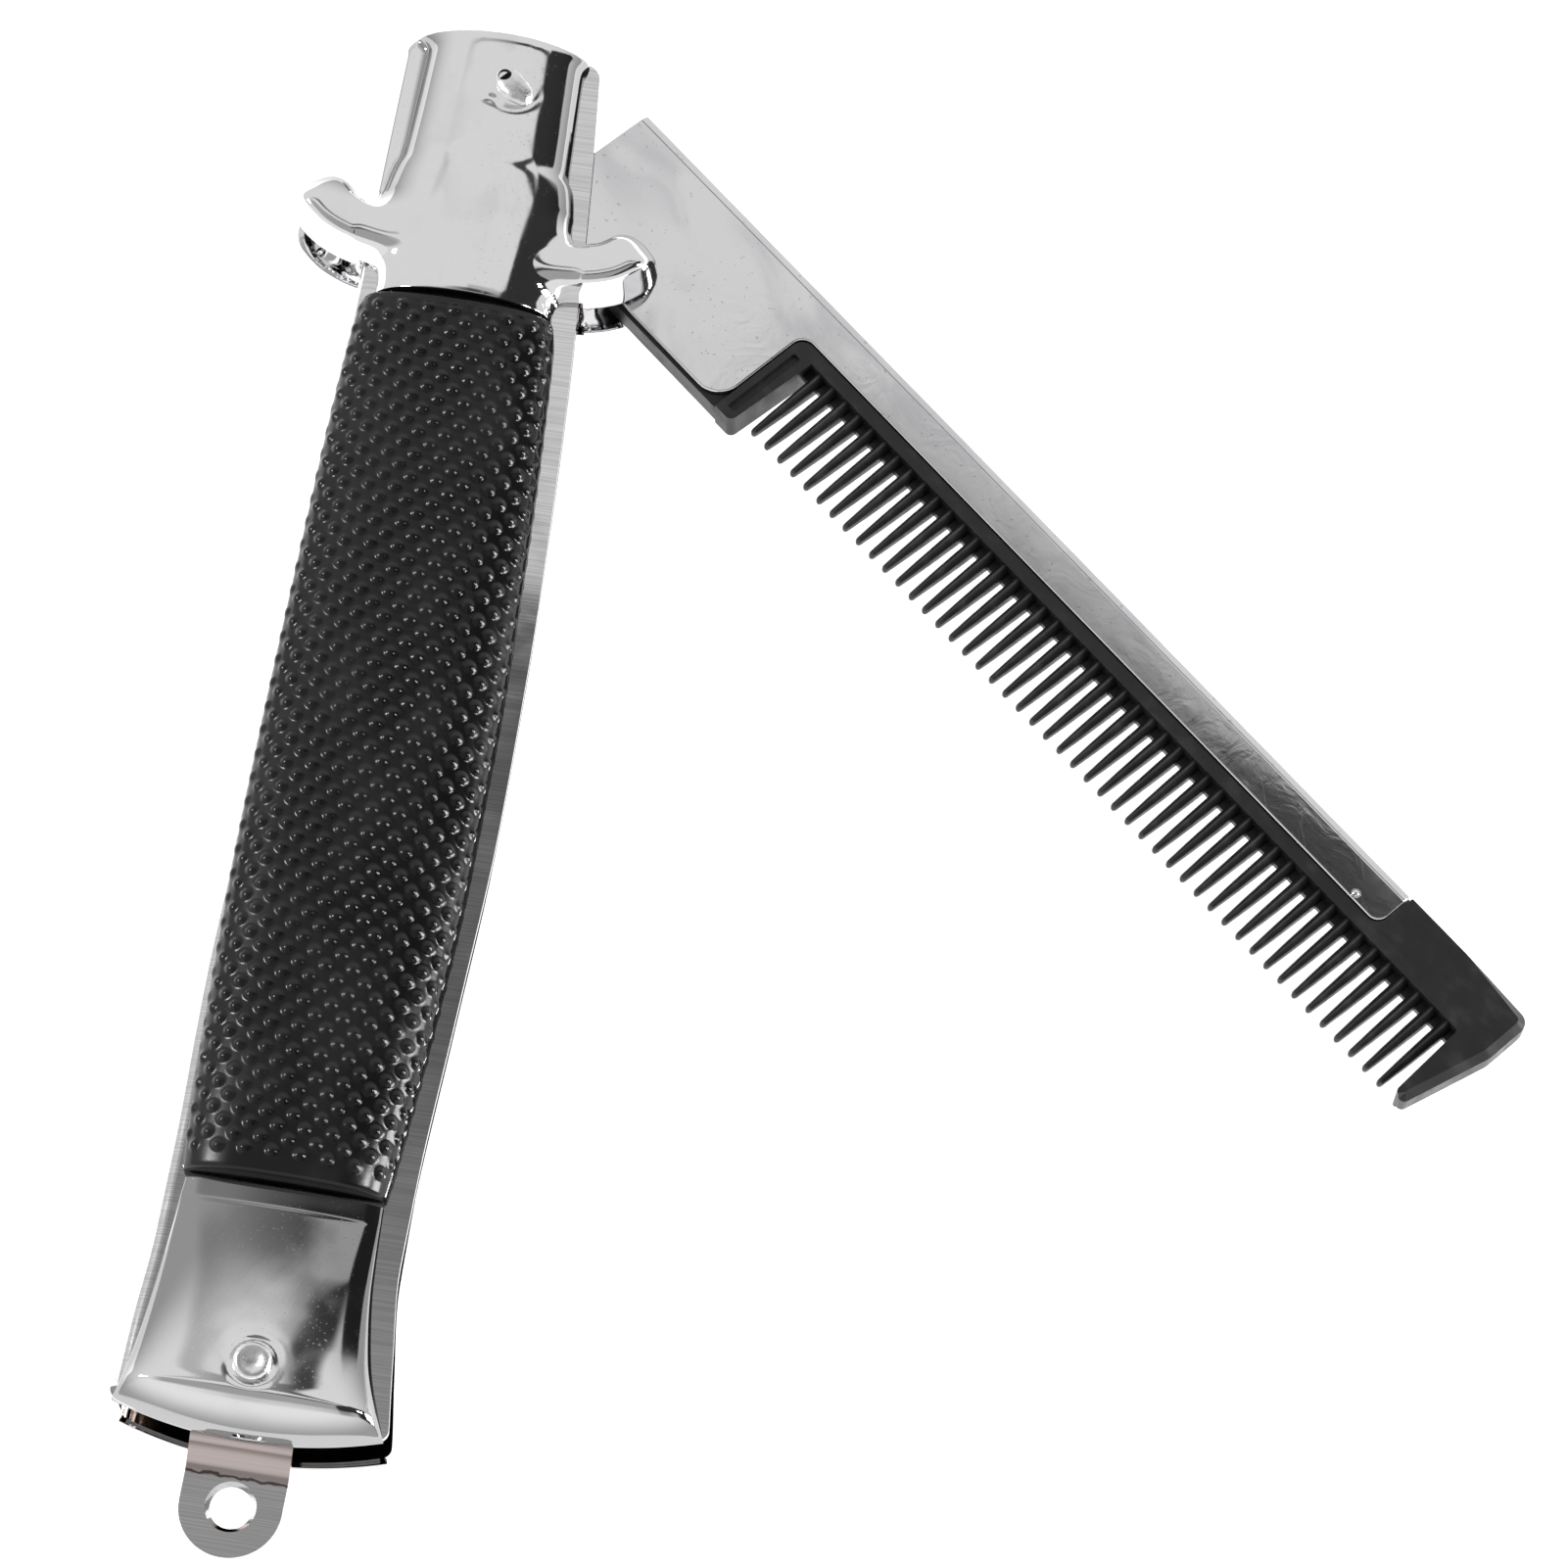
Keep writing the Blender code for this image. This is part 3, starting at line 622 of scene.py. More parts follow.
class Surface(Graph):
    """The graph of a piece's material, on the piece's own coordinates."""

    def __init__(self, name: str, colour: Colour, metallic: float, roughness: float) -> None:
        """Make the material and set the shader's plain values.

        Args:
            name: The material's name.
            colour: Its base colour.
            metallic: 1 for metal, 0 for plastic.
            roughness: Its mean roughness.
        """
        self.material = bpy.data.materials.new(name)
        self.material.use_nodes = True
        super().__init__(self.material.node_tree)
        self.shader = self.tree.nodes["Principled BSDF"]
        self.set("Base Color", colour)
        self.set("Metallic", metallic)
        self.set("Roughness", roughness)
        self.place = self.node("TexCoord", output="Object")

    def noise(self, scale: Point, detail: float = 2.0, turn: float = 0.0, distortion: float = 0.0) -> Socket:
        """A cloudy pattern from 0 to 1.

        Args:
            scale: How many cells there are to a metre, along each axis.
            detail: How many finer layers it has.
            turn: How far the pattern is turned round Z, in degrees.
            distortion: How much it is swirled.

        Returns:
            The pattern.
        """
        place = self.node("Mapping", {"Vector": self.place, "Rotation": (0, 0, math.radians(turn))})
        place = self.node("Mapping", {"Vector": place, "Scale": scale})
        return self.node("TexNoise", {"Vector": place, "Scale": 1.0, "Detail": detail,
                                      "Distortion": distortion})

    def even(self, scale: float, detail: float) -> Socket:
        """A cloudy pattern with as many cells along each axis."""
        return self.noise((scale, scale, scale), detail)

    def set(self, socket: str, value: object) -> None:
        """Feed one of the shader's sockets."""
        self.feed(self.shader.inputs[socket], value)

    def roughen(self, pattern: Socket, start: float, end: float, low: float, high: float) -> None:
        """Let the roughness follow a pattern, from low to high while the pattern goes from start to end."""
        self.set("Roughness", self.ramp(pattern, start, end, low, high))

    def bumps(self, *layers: Tuple[Socket, float]) -> None:
        """Give the surface its relief.

        Args:
            *layers: Patterns with the height, in millimetres, that each stands for.
        """
        normal = None
        for pattern, height in layers:
            inputs = {"Height": pattern, "Distance": height * MM, "Strength": 1.0}
            if normal is not None:
                inputs["Normal"] = normal
            normal = self.node("Bump", inputs)
        self.set("Normal", normal)


@dataclass(frozen=True)
class ChromePlate:
    """Bright plating on drawn sheet: a clear mirror with faint waves, wiping marks and specks, and painted
    shade that darkens the steep flanks near the foot.
    """

    colour: Colour = (0.90, 0.90, 0.91, 1.0)
    hazy: Colour = (0.84, 0.84, 0.85, 1.0)
    # The foot colour is painted shade: the steep flanks low down are mixed towards it so that they reflect
    # less light.
    foot: Colour = (0.38, 0.38, 0.385, 1.0)
    roughness: float = 0.05
    wave_mm: float = 0.010
    wipe_mm: float = 0.0005
    speck_mm: float = 0.0012
    flank_shade_heights: Pair = (0.0042, 0.0056)
    guards_y: Span = (-0.0300, -0.0250, -0.0115, -0.0095)
    flange_height: float = 0.00326
    flange_skin: Pair = (0.00002, 0.00006)
    flange_x: Pair = (-0.0084, -0.0079)

    def material(self) -> Material:
        """Build the finish's nodes.

        Returns:
            The material.
        """
        surface = Surface("bolster_chrome", self.colour, 1.0, self.roughness)
        waves = surface.noise((190, 150, 190), 2.0)
        wipes = surface.noise((2600, 260, 900), 3.0, turn=24.0)
        specks = surface.ramp(surface.even(5200, 1.0), 0.70, 0.76)
        haze = surface.noise((320, 240, 320), 4.0, distortion=0.6)
        surface.roughen(haze, 0.42, 0.72, self.roughness, self.roughness + 0.05)
        x, y, z = surface.axes(surface.place)
        height = surface.off(z, LEVELS.top * MM)
        off_flange = surface.math("MAXIMUM", surface.ramp(x, *self.flange_x),
                                  surface.ramp(surface.off(height, self.flange_height), *self.flange_skin))
        off_guards = surface.math("SUBTRACT", 1.0, surface.band(y, *self.guards_y))
        # Painted shade: the steep flanks below the shade heights, apart from the flange and the guards, are
        # darkened towards the foot colour.
        painted_flank_shade = surface.product(surface.ramp(height, *self.flank_shade_heights, 1.0, 0.0), off_flange, off_guards)
        tone = surface.mix(surface.ramp(haze, 0.5, 0.8), self.colour, self.hazy)
        surface.set("Base Color", surface.mix(painted_flank_shade, tone, self.foot))
        surface.bumps((waves, self.wave_mm), (wipes, self.wipe_mm), (specks, self.speck_mm))
        return surface.material


@dataclass(frozen=True)
class BrushedSheet:
    """The handle's folded sheet: plain steel with fine lines across the handle, painted shade in the slot, a
    painted shade line in the lug's fold and a painted warm reflection on its bend.
    """

    colour: Colour = (0.66, 0.66, 0.66, 1.0)
    pale: Colour = (0.84, 0.83, 0.83, 1.0)
    # A warm tint painted on the lug's bend, as a painted reflection.
    bend_reflection_tint: Colour = (0.56, 0.47, 0.45, 1.0)
    # The dark line in the lug's fold is painted shade.
    fold_shade_colour: Colour = (0.07, 0.04, 0.035, 1.0)
    # The slot's inside colour: painted shade with a brownish painted reflection.
    slot_shade_tint: Colour = (0.20, 0.15, 0.125, 1.0)
    strength: float = 0.85
    roughness: float = 0.065
    line_mm: float = 0.0002
    bend_y: Span = (-0.1146, -0.1139, -0.1116, -0.1110)
    fold_y: float = -0.11385
    fold_waver: float = 0.0007
    fold_width: Pair = (0.00005, 0.00016)
    slot_heights: Pair = (0.00213, 0.00225)
    slot_x: Pair = (-0.0094, -0.0091)
    slot_y: Pair = (-0.1128, -0.1122)

    def material(self) -> Material:
        """Build the finish's nodes.

        Returns:
            The material.
        """
        surface = Surface("steel_sheet", self.colour, 1.0, self.roughness)
        x, y, z = surface.axes(surface.place)
        lines = surface.noise((90, 9000, 900), 4.0)
        broad = surface.noise((160, 260, 500), 3.0)
        waver = surface.product(surface.even(900, 2.0), self.fold_waver)
        off_fold = surface.off(surface.math("ADD", y, waver), self.fold_y)
        # Painted shade: the faces inside the slot are darkened towards a brown tint.
        inside = surface.product(surface.ramp(surface.off(z, LEVELS.top * MM), *self.slot_heights, 1.0, 0.0),
                                 surface.ramp(x, *self.slot_x), surface.ramp(y, *self.slot_y), self.strength)
        tone = surface.mix(surface.ramp(lines, 0.34, 0.66), self.colour, self.pale)
        # Painted reflection: a warm tint painted across the lug's bend.
        tone = surface.mix(surface.product(surface.band(y, *self.bend_y), self.strength), tone, self.bend_reflection_tint)
        # Painted shade: a dark wavering line along the lug's fold.
        fold_shade_mask = surface.ramp(off_fold, *self.fold_width, self.strength, 0.0)
        tone = surface.mix(fold_shade_mask, tone, self.fold_shade_colour)
        surface.set("Base Color", surface.mix(inside, tone, self.slot_shade_tint))
        surface.roughen(broad, 0.35, 0.7, self.roughness - 0.03, self.roughness + 0.05)
        surface.bumps((lines, self.line_mm))
        return surface.material


@dataclass(frozen=True)
class SatinSteel:
    """The comb's folded steel: satin bright, with swirling wiping marks and a few flecks."""

    colour: Colour = (0.86, 0.86, 0.87, 1.0)
    dull: Colour = (0.76, 0.76, 0.775, 1.0)
    fleck: Colour = (0.32, 0.32, 0.33, 1.0)
    roughness: float = 0.09
    turn: float = 39.8

    def material(self) -> Material:
        """Build the finish's nodes.

        Returns:
            The material.
        """
        surface = Surface("comb_steel", self.colour, 1.0, self.roughness)
        grain = surface.noise((260, 5200, 900), 3.0, turn=self.turn)
        swirls = surface.noise((240, 300, 300), 3.0, turn=self.turn, distortion=2.6)
        smudges = surface.noise((90, 160, 160), 4.0, turn=self.turn + 20, distortion=0.8)
        flecks = surface.ramp(surface.even(2600, 1.0), 0.70, 0.76)
        scratches = surface.ramp(surface.noise((150, 9000, 900), 1.0, turn=self.turn + 34), 0.70, 0.74)
        tone = surface.mix(surface.ramp(smudges, 0.42, 0.68), self.colour, self.dull)
        surface.set("Base Color", surface.mix(surface.product(flecks, 0.4), tone, self.fleck))
        surface.roughen(smudges, 0.35, 0.72, self.roughness - 0.03, self.roughness + 0.05)
        surface.bumps((swirls, 0.005), (grain, 0.0004), (scratches, 0.0005))
        return surface.material


@dataclass(frozen=True)
class GlossMoulding:
    """Glossy black plastic of the grips, with a fine skin and cloudy worn places."""

    name: str = "grip_plastic"
    colour: Colour = (0.0045, 0.0045, 0.005, 1.0)
    worn: Colour = (0.009, 0.009, 0.0095, 1.0)
    roughness: float = 0.19
    smoother: float = 0.03
    reflectance: float = 0.42
    skin_cells: float = 2400
    skin_mm: float = 0.004
    cloud: Point = (260, 120, 260)
    cloud_detail: float = 3.0
    cloud_turn: float = 0.0
    worn_from: Pair = (0.45, 0.75)
    rough_from: Pair = (0.35, 0.75)

    def material(self) -> Material:
        """Build the finish's nodes.

        Returns:
            The material.
        """
        surface = Surface(self.name, self.colour, 0.0, self.roughness)
        surface.set("Specular IOR Level", self.reflectance)
        skin = surface.even(self.skin_cells, 3.0)
        cloud = surface.noise(self.cloud, self.cloud_detail, turn=self.cloud_turn)
        surface.set("Base Color", surface.mix(surface.ramp(cloud, *self.worn_from), self.colour, self.worn))
        surface.roughen(cloud, *self.rough_from, self.roughness - self.smoother, self.roughness + 0.10)
        surface.bumps((skin, self.skin_mm))
        return surface.material


@dataclass(frozen=True)
class MattMoulding(GlossMoulding):
    """Charcoal plastic of the comb: the same skin, matt and coarser, with pale rubbed spots."""

    name: str = "comb_plastic"
    colour: Colour = (0.013, 0.013, 0.014, 1.0)
    worn: Colour = (0.022, 0.022, 0.0235, 1.0)
    roughness: float = 0.36
    smoother: float = 0.06
    skin_cells: float = 3600
    skin_mm: float = 0.006
    cloud: Point = (420, 700, 420)
    cloud_detail: float = 4.0
    cloud_turn: float = 39.8
    worn_from: Pair = (0.52, 0.74)
    rough_from: Pair = (0.35, 0.72)


@dataclass(frozen=True)
class PeenedSteel:
    """Bright steel of the rivets, with small hammer marks and painted shade in the pivot's mouth."""

    colour: Colour = (0.90, 0.90, 0.91, 1.0)
    dull: Colour = (0.66, 0.66, 0.67, 1.0)
    # The colour of the painted shade in the pivot's mouth.
    dark: Colour = (0.008, 0.008, 0.008, 1.0)
    roughness: float = 0.26
    mouth: Pair = (-0.00089, 0.0008)
    mouth_rim: Pair = (0.00052, 0.00057)

    def material(self) -> Material:
        """Build the finish's nodes.

        Returns:
            The material.
        """
        surface = Surface("rivet_steel", self.colour, 1.0, self.roughness)
        marks, fine = surface.even(1500, 2.0), surface.even(6000, 2.0)
        x, y = (surface.math("SUBTRACT", axis, centre)
                for axis, centre in zip(surface.axes(surface.place), self.mouth))
        away = surface.math("SQRT", surface.math("ADD", surface.product(x, x), surface.product(y, y)))
        tone = surface.mix(surface.ramp(marks, 0.45, 0.8), self.colour, self.dull)
        # Painted shade: the inside of the pivot's mouth is painted dark.
        surface.set("Base Color", surface.mix(surface.ramp(away, *self.mouth_rim), self.dark, tone))
        surface.roughen(fine, 0.3, 0.8, self.roughness - 0.04, self.roughness + 0.12)
        surface.bumps((marks, 0.006), (fine, 0.0003))
        return surface.material


@dataclass(frozen=True)
class Finishes:
    """The materials of all pieces."""

    chrome: Material
    sheet: Material
    satin: Material
    gloss: Material
    matt: Material
    rivet: Material

    @classmethod
    def make(cls) -> "Finishes":
        """Make every material once."""
        return cls(*[finish.material() for finish in (ChromePlate(), BrushedSheet(), SatinSteel(),
                                                      GlossMoulding(), MattMoulding(), PeenedSteel())])


@dataclass
class FoldedSheet:
    """The handle's sheet: front plate, fold on the left, back plate and the key-ring lug."""

    rows: Tuple[Row, ...] = (
        # y, left, right
        (4.75, -9.5, 6.1), (-3.0, -9.5, 6.9), (-18.0, -9.6, 8.15), (-33.0, -9.65, 9.08), (-48.0, -9.8, 9.68),
        (-62.0, -9.9, 9.84), (-76.0, -10.1, 9.4), (-90.0, -9.8, 8.88), (-97.0, -9.8, 8.85),
        (-104.0, -10.15, 9.6), (-110.0, -10.3, 10.4),
    )
    steps_per_row: int = 6
    top_bow: float = 0.3
    top_steps: Tuple[int, float] = (4, 6)
    top_corner: float = 1.3
    end_bow: float = 1.75
    end_steps: Tuple[int, float] = (7, 8.5)
    end_corner: float = 0.8
    fold_side: float = -9.0
    fold_run: float = 0.4
    fold_radius: float = 1.1
    fold_inside: float = 0.5
    slot_overrun: float = 5
    lug_centre: Pair = (-0.1, -116.4)
    lug_half_width: float = 3.8
    lug_hole: float = 1.56
    lug_rim: float = 1.9
    sink_levels: Pair = (-0.08, 0.31)
    lug_fold_y: float = -114.1
    lug_root_y: float = -111.4
    lug_sunk: float = 1.0
    lug_level: float = 0.8
    bend_reach: float = 0.45
    bend_cuts: int = 22
    bend_spacing: float = 0.18
    pivot_hole: float = 1.5
    rivet_hole: float = 1.3
    edge_softness: float = 0.07
    back_plate: Pair = (0.1, 5.0)
    back_setback: Tuple[Pair, ...] = (
        # y, how far the back plate's free edge stands behind the front plate's
        (8.0, 0.28), (-18.0, 0.28), (-36.0, 0.34), (-62.0, 0.42), (-90.0, 0.42), (-104.0, 0.12),
        (-108.0, 0.0),
    )

    def set_back(self, sheet: Piece) -> None:
        """Move the back plate's free edge in, behind the front plate's.

        Args:
            sheet: The sheet, folded and not yet drilled.
        """
        places, widths = zip(*reversed(self.back_setback))
        above, beyond = self.back_plate
        for vert in sheet.data.vertices:
            if vert.co.z < above - LEVELS.slot and vert.co.x > beyond:
                vert.co.x -= float(np.interp(vert.co.y, places, widths))

    def bowed(self, row: Row, bow: float, steps: Tuple[int, float]) -> List[Point]:
        """The corners along one of the plate's bowed ends.

        Args:
            row: The end's y, left and right.
            bow: How far its middle stands out.
            steps: How many points there are on each side of the middle, and how many would fill it.

        Returns:
            The corners, from left to right.
        """
        y, left, right = row
        middle, half = (left + right) / 2, (right - left) / 2
        shares = [step / steps[1] for step in range(-steps[0], steps[0] + 1)]
        return [(middle + share * half, y + bow * (1 - share**2), 0) for share in shares]

    def outline(self) -> List[Vector]:
        """The plate's outline, bowed at both ends.

        Returns:
            Its points, from the top's left corner on.
        """
        gaps = len(self.rows) - 1
        count = gaps * self.steps_per_row
        rows = [eased(self.rows, gaps * step / count) for step in range(count + 1)]
        top, end = rows[0], rows[-1]
        return filleted([
            (top[1], top[0], self.top_corner), *self.bowed(top, self.top_bow, self.top_steps),
            (top[2], top[0], self.top_corner), *[(right, y, 0) for y, left, right in rows[2:-1]],
            (end[2], end[0], self.end_corner), *reversed(self.bowed(end, -self.end_bow, self.end_steps)),
            (end[1], end[0], self.end_corner), *[(left, y, 0) for y, left, right in reversed(rows[2:-1])],
        ])

    def slot(self) -> Mesh:
        """The room inside the fold, with its inner corners rounded.

        Returns:
            The room, closed.
        """
        wall = [(left + LEVELS.sheet, y) for y, left, right in self.rows]
        wall[0] = (wall[0][0], wall[0][1] + self.slot_overrun)
        wall[-1] = (wall[-1][0], wall[-1][1] - self.slot_overrun)
        room = outline_plate([*wall, (REACH, wall[-1][1]), (REACH, wall[0][1])], -LEVELS.slot, LEVELS.slot)
        round_edges(room, lambda place: place.x < 0, self.fold_inside, 4, run=1.0)
        return room

    def lug_height(self, y: float) -> float:
        """The height of the lug's middle at y, with soft bends.

        Args:
            y: The place along the lug.

        Returns:
            The height.
        """
        places = y + self.bend_reach * np.linspace(-1, 1, 9)
        levels = (self.lug_level, LEVELS.slot + LEVELS.sheet / 2)
        return float(np.interp(places, (self.lug_fold_y, self.lug_root_y), levels).mean())

    def lug(self, shop: Workshop) -> Mesh:
        """The lug: a tab with a round end and a countersunk hole, bent down from the plate's level.

        Args:
            shop: The workshop.

        Returns:
            The lug, closed.
        """
        x, root = self.lug_centre[0], self.lug_root_y + self.lug_sunk
        outline = [(x + self.lug_half_width, root), (x - self.lug_half_width, root),
                   *arc(self.lug_centre, self.lug_half_width, 180, 180, ROUND_STEPS)]
        tab = shop.to_object("lug", outline_plate(outline, -LEVELS.sheet / 2, LEVELS.sheet / 2))
        bottom, top = self.sink_levels
        drill = [(0, -2), (self.lug_hole, -2), (self.lug_hole, bottom), (self.lug_rim, top),
                 (self.lug_rim, 2), (0, 2)]
        shop.cut(tab, turned(drill, self.lug_centre))
        bm = shop.opened(tab)
        bpy.data.objects.remove(tab)
        for step in range(self.bend_cuts):
            slice_at(bm, (0, self.lug_root_y + self.bend_reach - step * self.bend_spacing, 0), (0, 1, 0))
        for vert in bm.verts:
            vert.co.z += self.lug_height(vert.co.y)
        return bm

    def build(self, shop: Workshop, finishes: Finishes) -> None:
        """Make the sheet with its lug and dress it.

        Args:
            shop: The workshop.
            finishes: The materials.
        """
        plate = outline_plate(self.outline(), -LEVELS.plate, LEVELS.plate)
        round_edges(plate, lambda place: place.x < self.fold_side, self.fold_radius, 5, self.fold_run)
        sheet = shop.to_object("folded_sheet", plate)
        shop.cut(sheet, self.slot())
        self.set_back(sheet)
        shop.cut(sheet, self.lug(shop), Cut.JOIN)
        shop.cut(sheet, pin(PIVOT, self.pivot_hole))
        shop.cut(sheet, pin(LOW_RIVET, self.rivet_hole))
        shop.soften(sheet, self.edge_softness)
        shop.finish_piece(sheet, finishes.sheet, Body.HANDLE, ["frame"], flat=True)


@dataclass
class GuardBolster:
    """The drawn cover over the pivot, with a curled guard on each side."""

    rows: Tuple[Row, ...] = (
        # y, left, right, height, bow, fullness
        (4.65, -8.9, 5.3, 1.5, -0.6, 2.2), (4.55, -8.8, 5.3, 2.6, -0.6, 2.2),
        (4.25, -8.3, 5.2, 3.04, -0.6, 2.2), (3.4, -7.7, 4.95, 3.19, -0.5, 2.2),
        (-2.0, -7.8, 5.2, 3.2, 0.0, 2.2), (-6.2, -8.0, 5.45, 3.2, 0.0, 2.2),
        (-7.1, -8.3, 5.95, 3.21, 0.0, 2.15), (-11.0, -8.8, 6.5, 3.26, 0.0, 2.1),
        (-18.2, -8.0, 6.2, 3.36, 0.0, 2.0), (-18.7, -8.0, 6.2, 3.34, 0.0, 2.0),
        (-20.2, -7.9, 6.1, 3.3, 0.0, 2.0),
    )
    steps: Tuple[int, ...] = (5, 5, 5, 12, 10, 6, 10, 14, 3, 3)
    columns: int = 64
    base: float = 2.9
    lip_y: float = -18.7
    rim: float = 2.1
    thickness: float = 0.5
    voxel: float = 0.17
    smooth_rounds: int = 7
    joint_rounds: int = 70
    joint_across: Pair = (4.8, 9.3)
    joint_along: Pair = (-18.2, -9.5)
    joint_above: float = 1.0
    softness: Pair = (0.09, 62)
    middle_x: float = -1.1
    flange: Tuple[Pair, ...] = (
        (-9.35, 4.0), (-8.9, 4.6), (-5.0, 5.05), (0.0, 5.1), (4.0, 4.7), (4.4, 4.0), (4.6, 2.0), (4.7, -2.0),
        (5.0, -6.0), (5.8, -9.0), (6.0, -14.0), (-9.35, -14.0),
    )
    flange_top: float = 3.26
    route: Tuple[Pair, ...] = ((3.0, -14.4), (4.5, -14.35), (8.6, -14.15), (10.9, -13.55), (12.25, -12.6))
    route_steps: int = 6
    guard_radius: float = 2.6
    guard_foot: float = 0.4
    guard_section: Tuple[Row, ...] = (
        # across from the curl's inside to its outside, height
        (2.6, 0.4), (2.6, 2.4), (2.45, 3.5), (1.95, 4.3), (1.1, 4.8), (0.0, 5.08), (-0.9, 5.26),
        (-1.45, 5.27), (-1.8, 4.9), (-2.15, 3.8), (-2.5, 2.5), (-2.6, 1.9), (-2.6, 0.4),
    )
    section_steps: int = 3
    left_lift: float = 1.4
    tip_steps: int = 8
    frame_sides: Pair = (-9.75, 8.35)
    crease: Point = (-6.6, 0.3, 0.003)
    crease_half: float = 6.0
    crease_skew: float = 0.03
    seat_ring: Point = (2.1, 0.32, 0.02)
    seat_fade: Pair = (0.5, 1.6)
    dimple: Tuple[float, ...] = (-1.75, -1.35, 0.7, 0.4, 0.03)

    def guard(self, side: int) -> Mesh:
        """A guard as a solid tube along its curled route.

        Args:
            side: 1 for the right guard, -1 for the left one.

        Returns:
            The guard, closed.
        """
        lift = self.left_lift / self.route[-1][0] if side < 0 else 0.0
        path = smooth_path([Vector((self.middle_x + side * x, y + lift * x)) for x, y in self.route],
                           self.route_steps)
        heading = (path[-1] - path[-2]).normalized() * self.guard_radius
        stations = [(point, 1.0) for point in path]
        stations += [(path[-1] + heading * ahead, share) for ahead, share in quarter_turn(self.tip_steps)]
        shape = [eased(self.guard_section, step / self.section_steps)
                 for step in range(self.section_steps * (len(self.guard_section) - 1) + 1)]
        shape.append(shape[0])
        sections = []
        for index, (point, share) in enumerate(stations):
            run = stations[min(index + 1, len(stations) - 1)][0] - stations[max(index - 1, 0)][0]
            across = Vector((-run.y, run.x)).normalized() * side
            foot = self.guard_foot
            sections.append([(*(point + across * wide * share), foot + (tall - foot) * share)
                             for wide, tall in shape])
        return close_up(grid_through(sections))

    def shell(self, shop: Workshop) -> Piece:
        """The front cover as one blended sheet with its thickness.

        Args:
            shop: The workshop.

        Returns:
            The cover, not finished yet.
        """
        solid = close_up(cover_sheet(self.rows, self.steps, self.columns, self.base, 0.0))
        for part in (self.guard(-1), self.guard(1), outline_plate(self.flange, 0.0, self.flange_top)):
            join(solid, part)
        shell = shop.to_object("guard_bolster_front", solid)
        shop.modify(shell, "REMESH", mode="VOXEL", voxel_size=self.voxel, adaptivity=0.0)
        bm = shop.opened(shell)
        smooth(bm, bm.verts[:], self.smooth_rounds)
        near, far = self.joint_across
        low, high = self.joint_along
        smooth(bm, [vert for vert in bm.verts if near < abs(vert.co.x - self.middle_x) < far
                    and low < vert.co.y < high and vert.co.z > self.joint_above], self.joint_rounds)
        dent(bm, self.stamping)
        slice_at(bm, (0, self.lip_y, 0), (0, -1, 0), drop=True)
        slice_at(bm, (0, 0, self.rim), (0, 0, -1), drop=True)
        left, right = self.frame_sides
        slice_at(bm, (left, 0, 0), (1, 0, 0))
        slice_at(bm, (right, 0, 0), (1, 0, 0))
        slice_at(bm, (0, 0, LEVELS.seat), (0, 0, 1))
        middles = [(face, face.calc_center_median()) for face in bm.faces]
        sunk = [face for face, middle in middles if middle.z < LEVELS.seat and left < middle.x < right]
        bmesh.ops.delete(bm, geom=sunk, context="FACES")
        bmesh.ops.recalc_face_normals(bm, faces=bm.faces)
        shop.store(bm, shell)
        shop.thicken(shell, self.thickness)
        shop.soften(shell, *self.softness)
        return shell

    def stamping(self, place: Vector) -> float:
        """How deep the press marks are at a place: the crease across the dome and the rivet's seat.

        Args:
            place: The place.

        Returns:
            The depth.
        """
        if place.z <= LEVELS.plate:
            return 0.0
        y, width, depth = self.crease
        fade = max(0.0, 1 - ((place.x - self.middle_x) / self.crease_half) ** 2)
        crease = depth * fade * math.exp(-((place.y - y + self.crease_skew * place.x) / width) ** 2)
        x, y, wide, tall, pressed = self.dimple
        dimple = pressed * math.exp(-((place.x - x) / wide) ** 2 - ((place.y - y) / tall) ** 2)
        lower = min(max(self.seat_fade[0] - place.y / self.seat_fade[1], 0.0), 1.0)
        return crease + lower * (ring_groove(place, PIVOT, *self.seat_ring) + dimple)

    def build(self, shop: Workshop, finishes: Finishes) -> None:
        """Make both covers and dress them."""
        shop.finish_pair(self.shell(shop), finishes.chrome, "bolster_top")


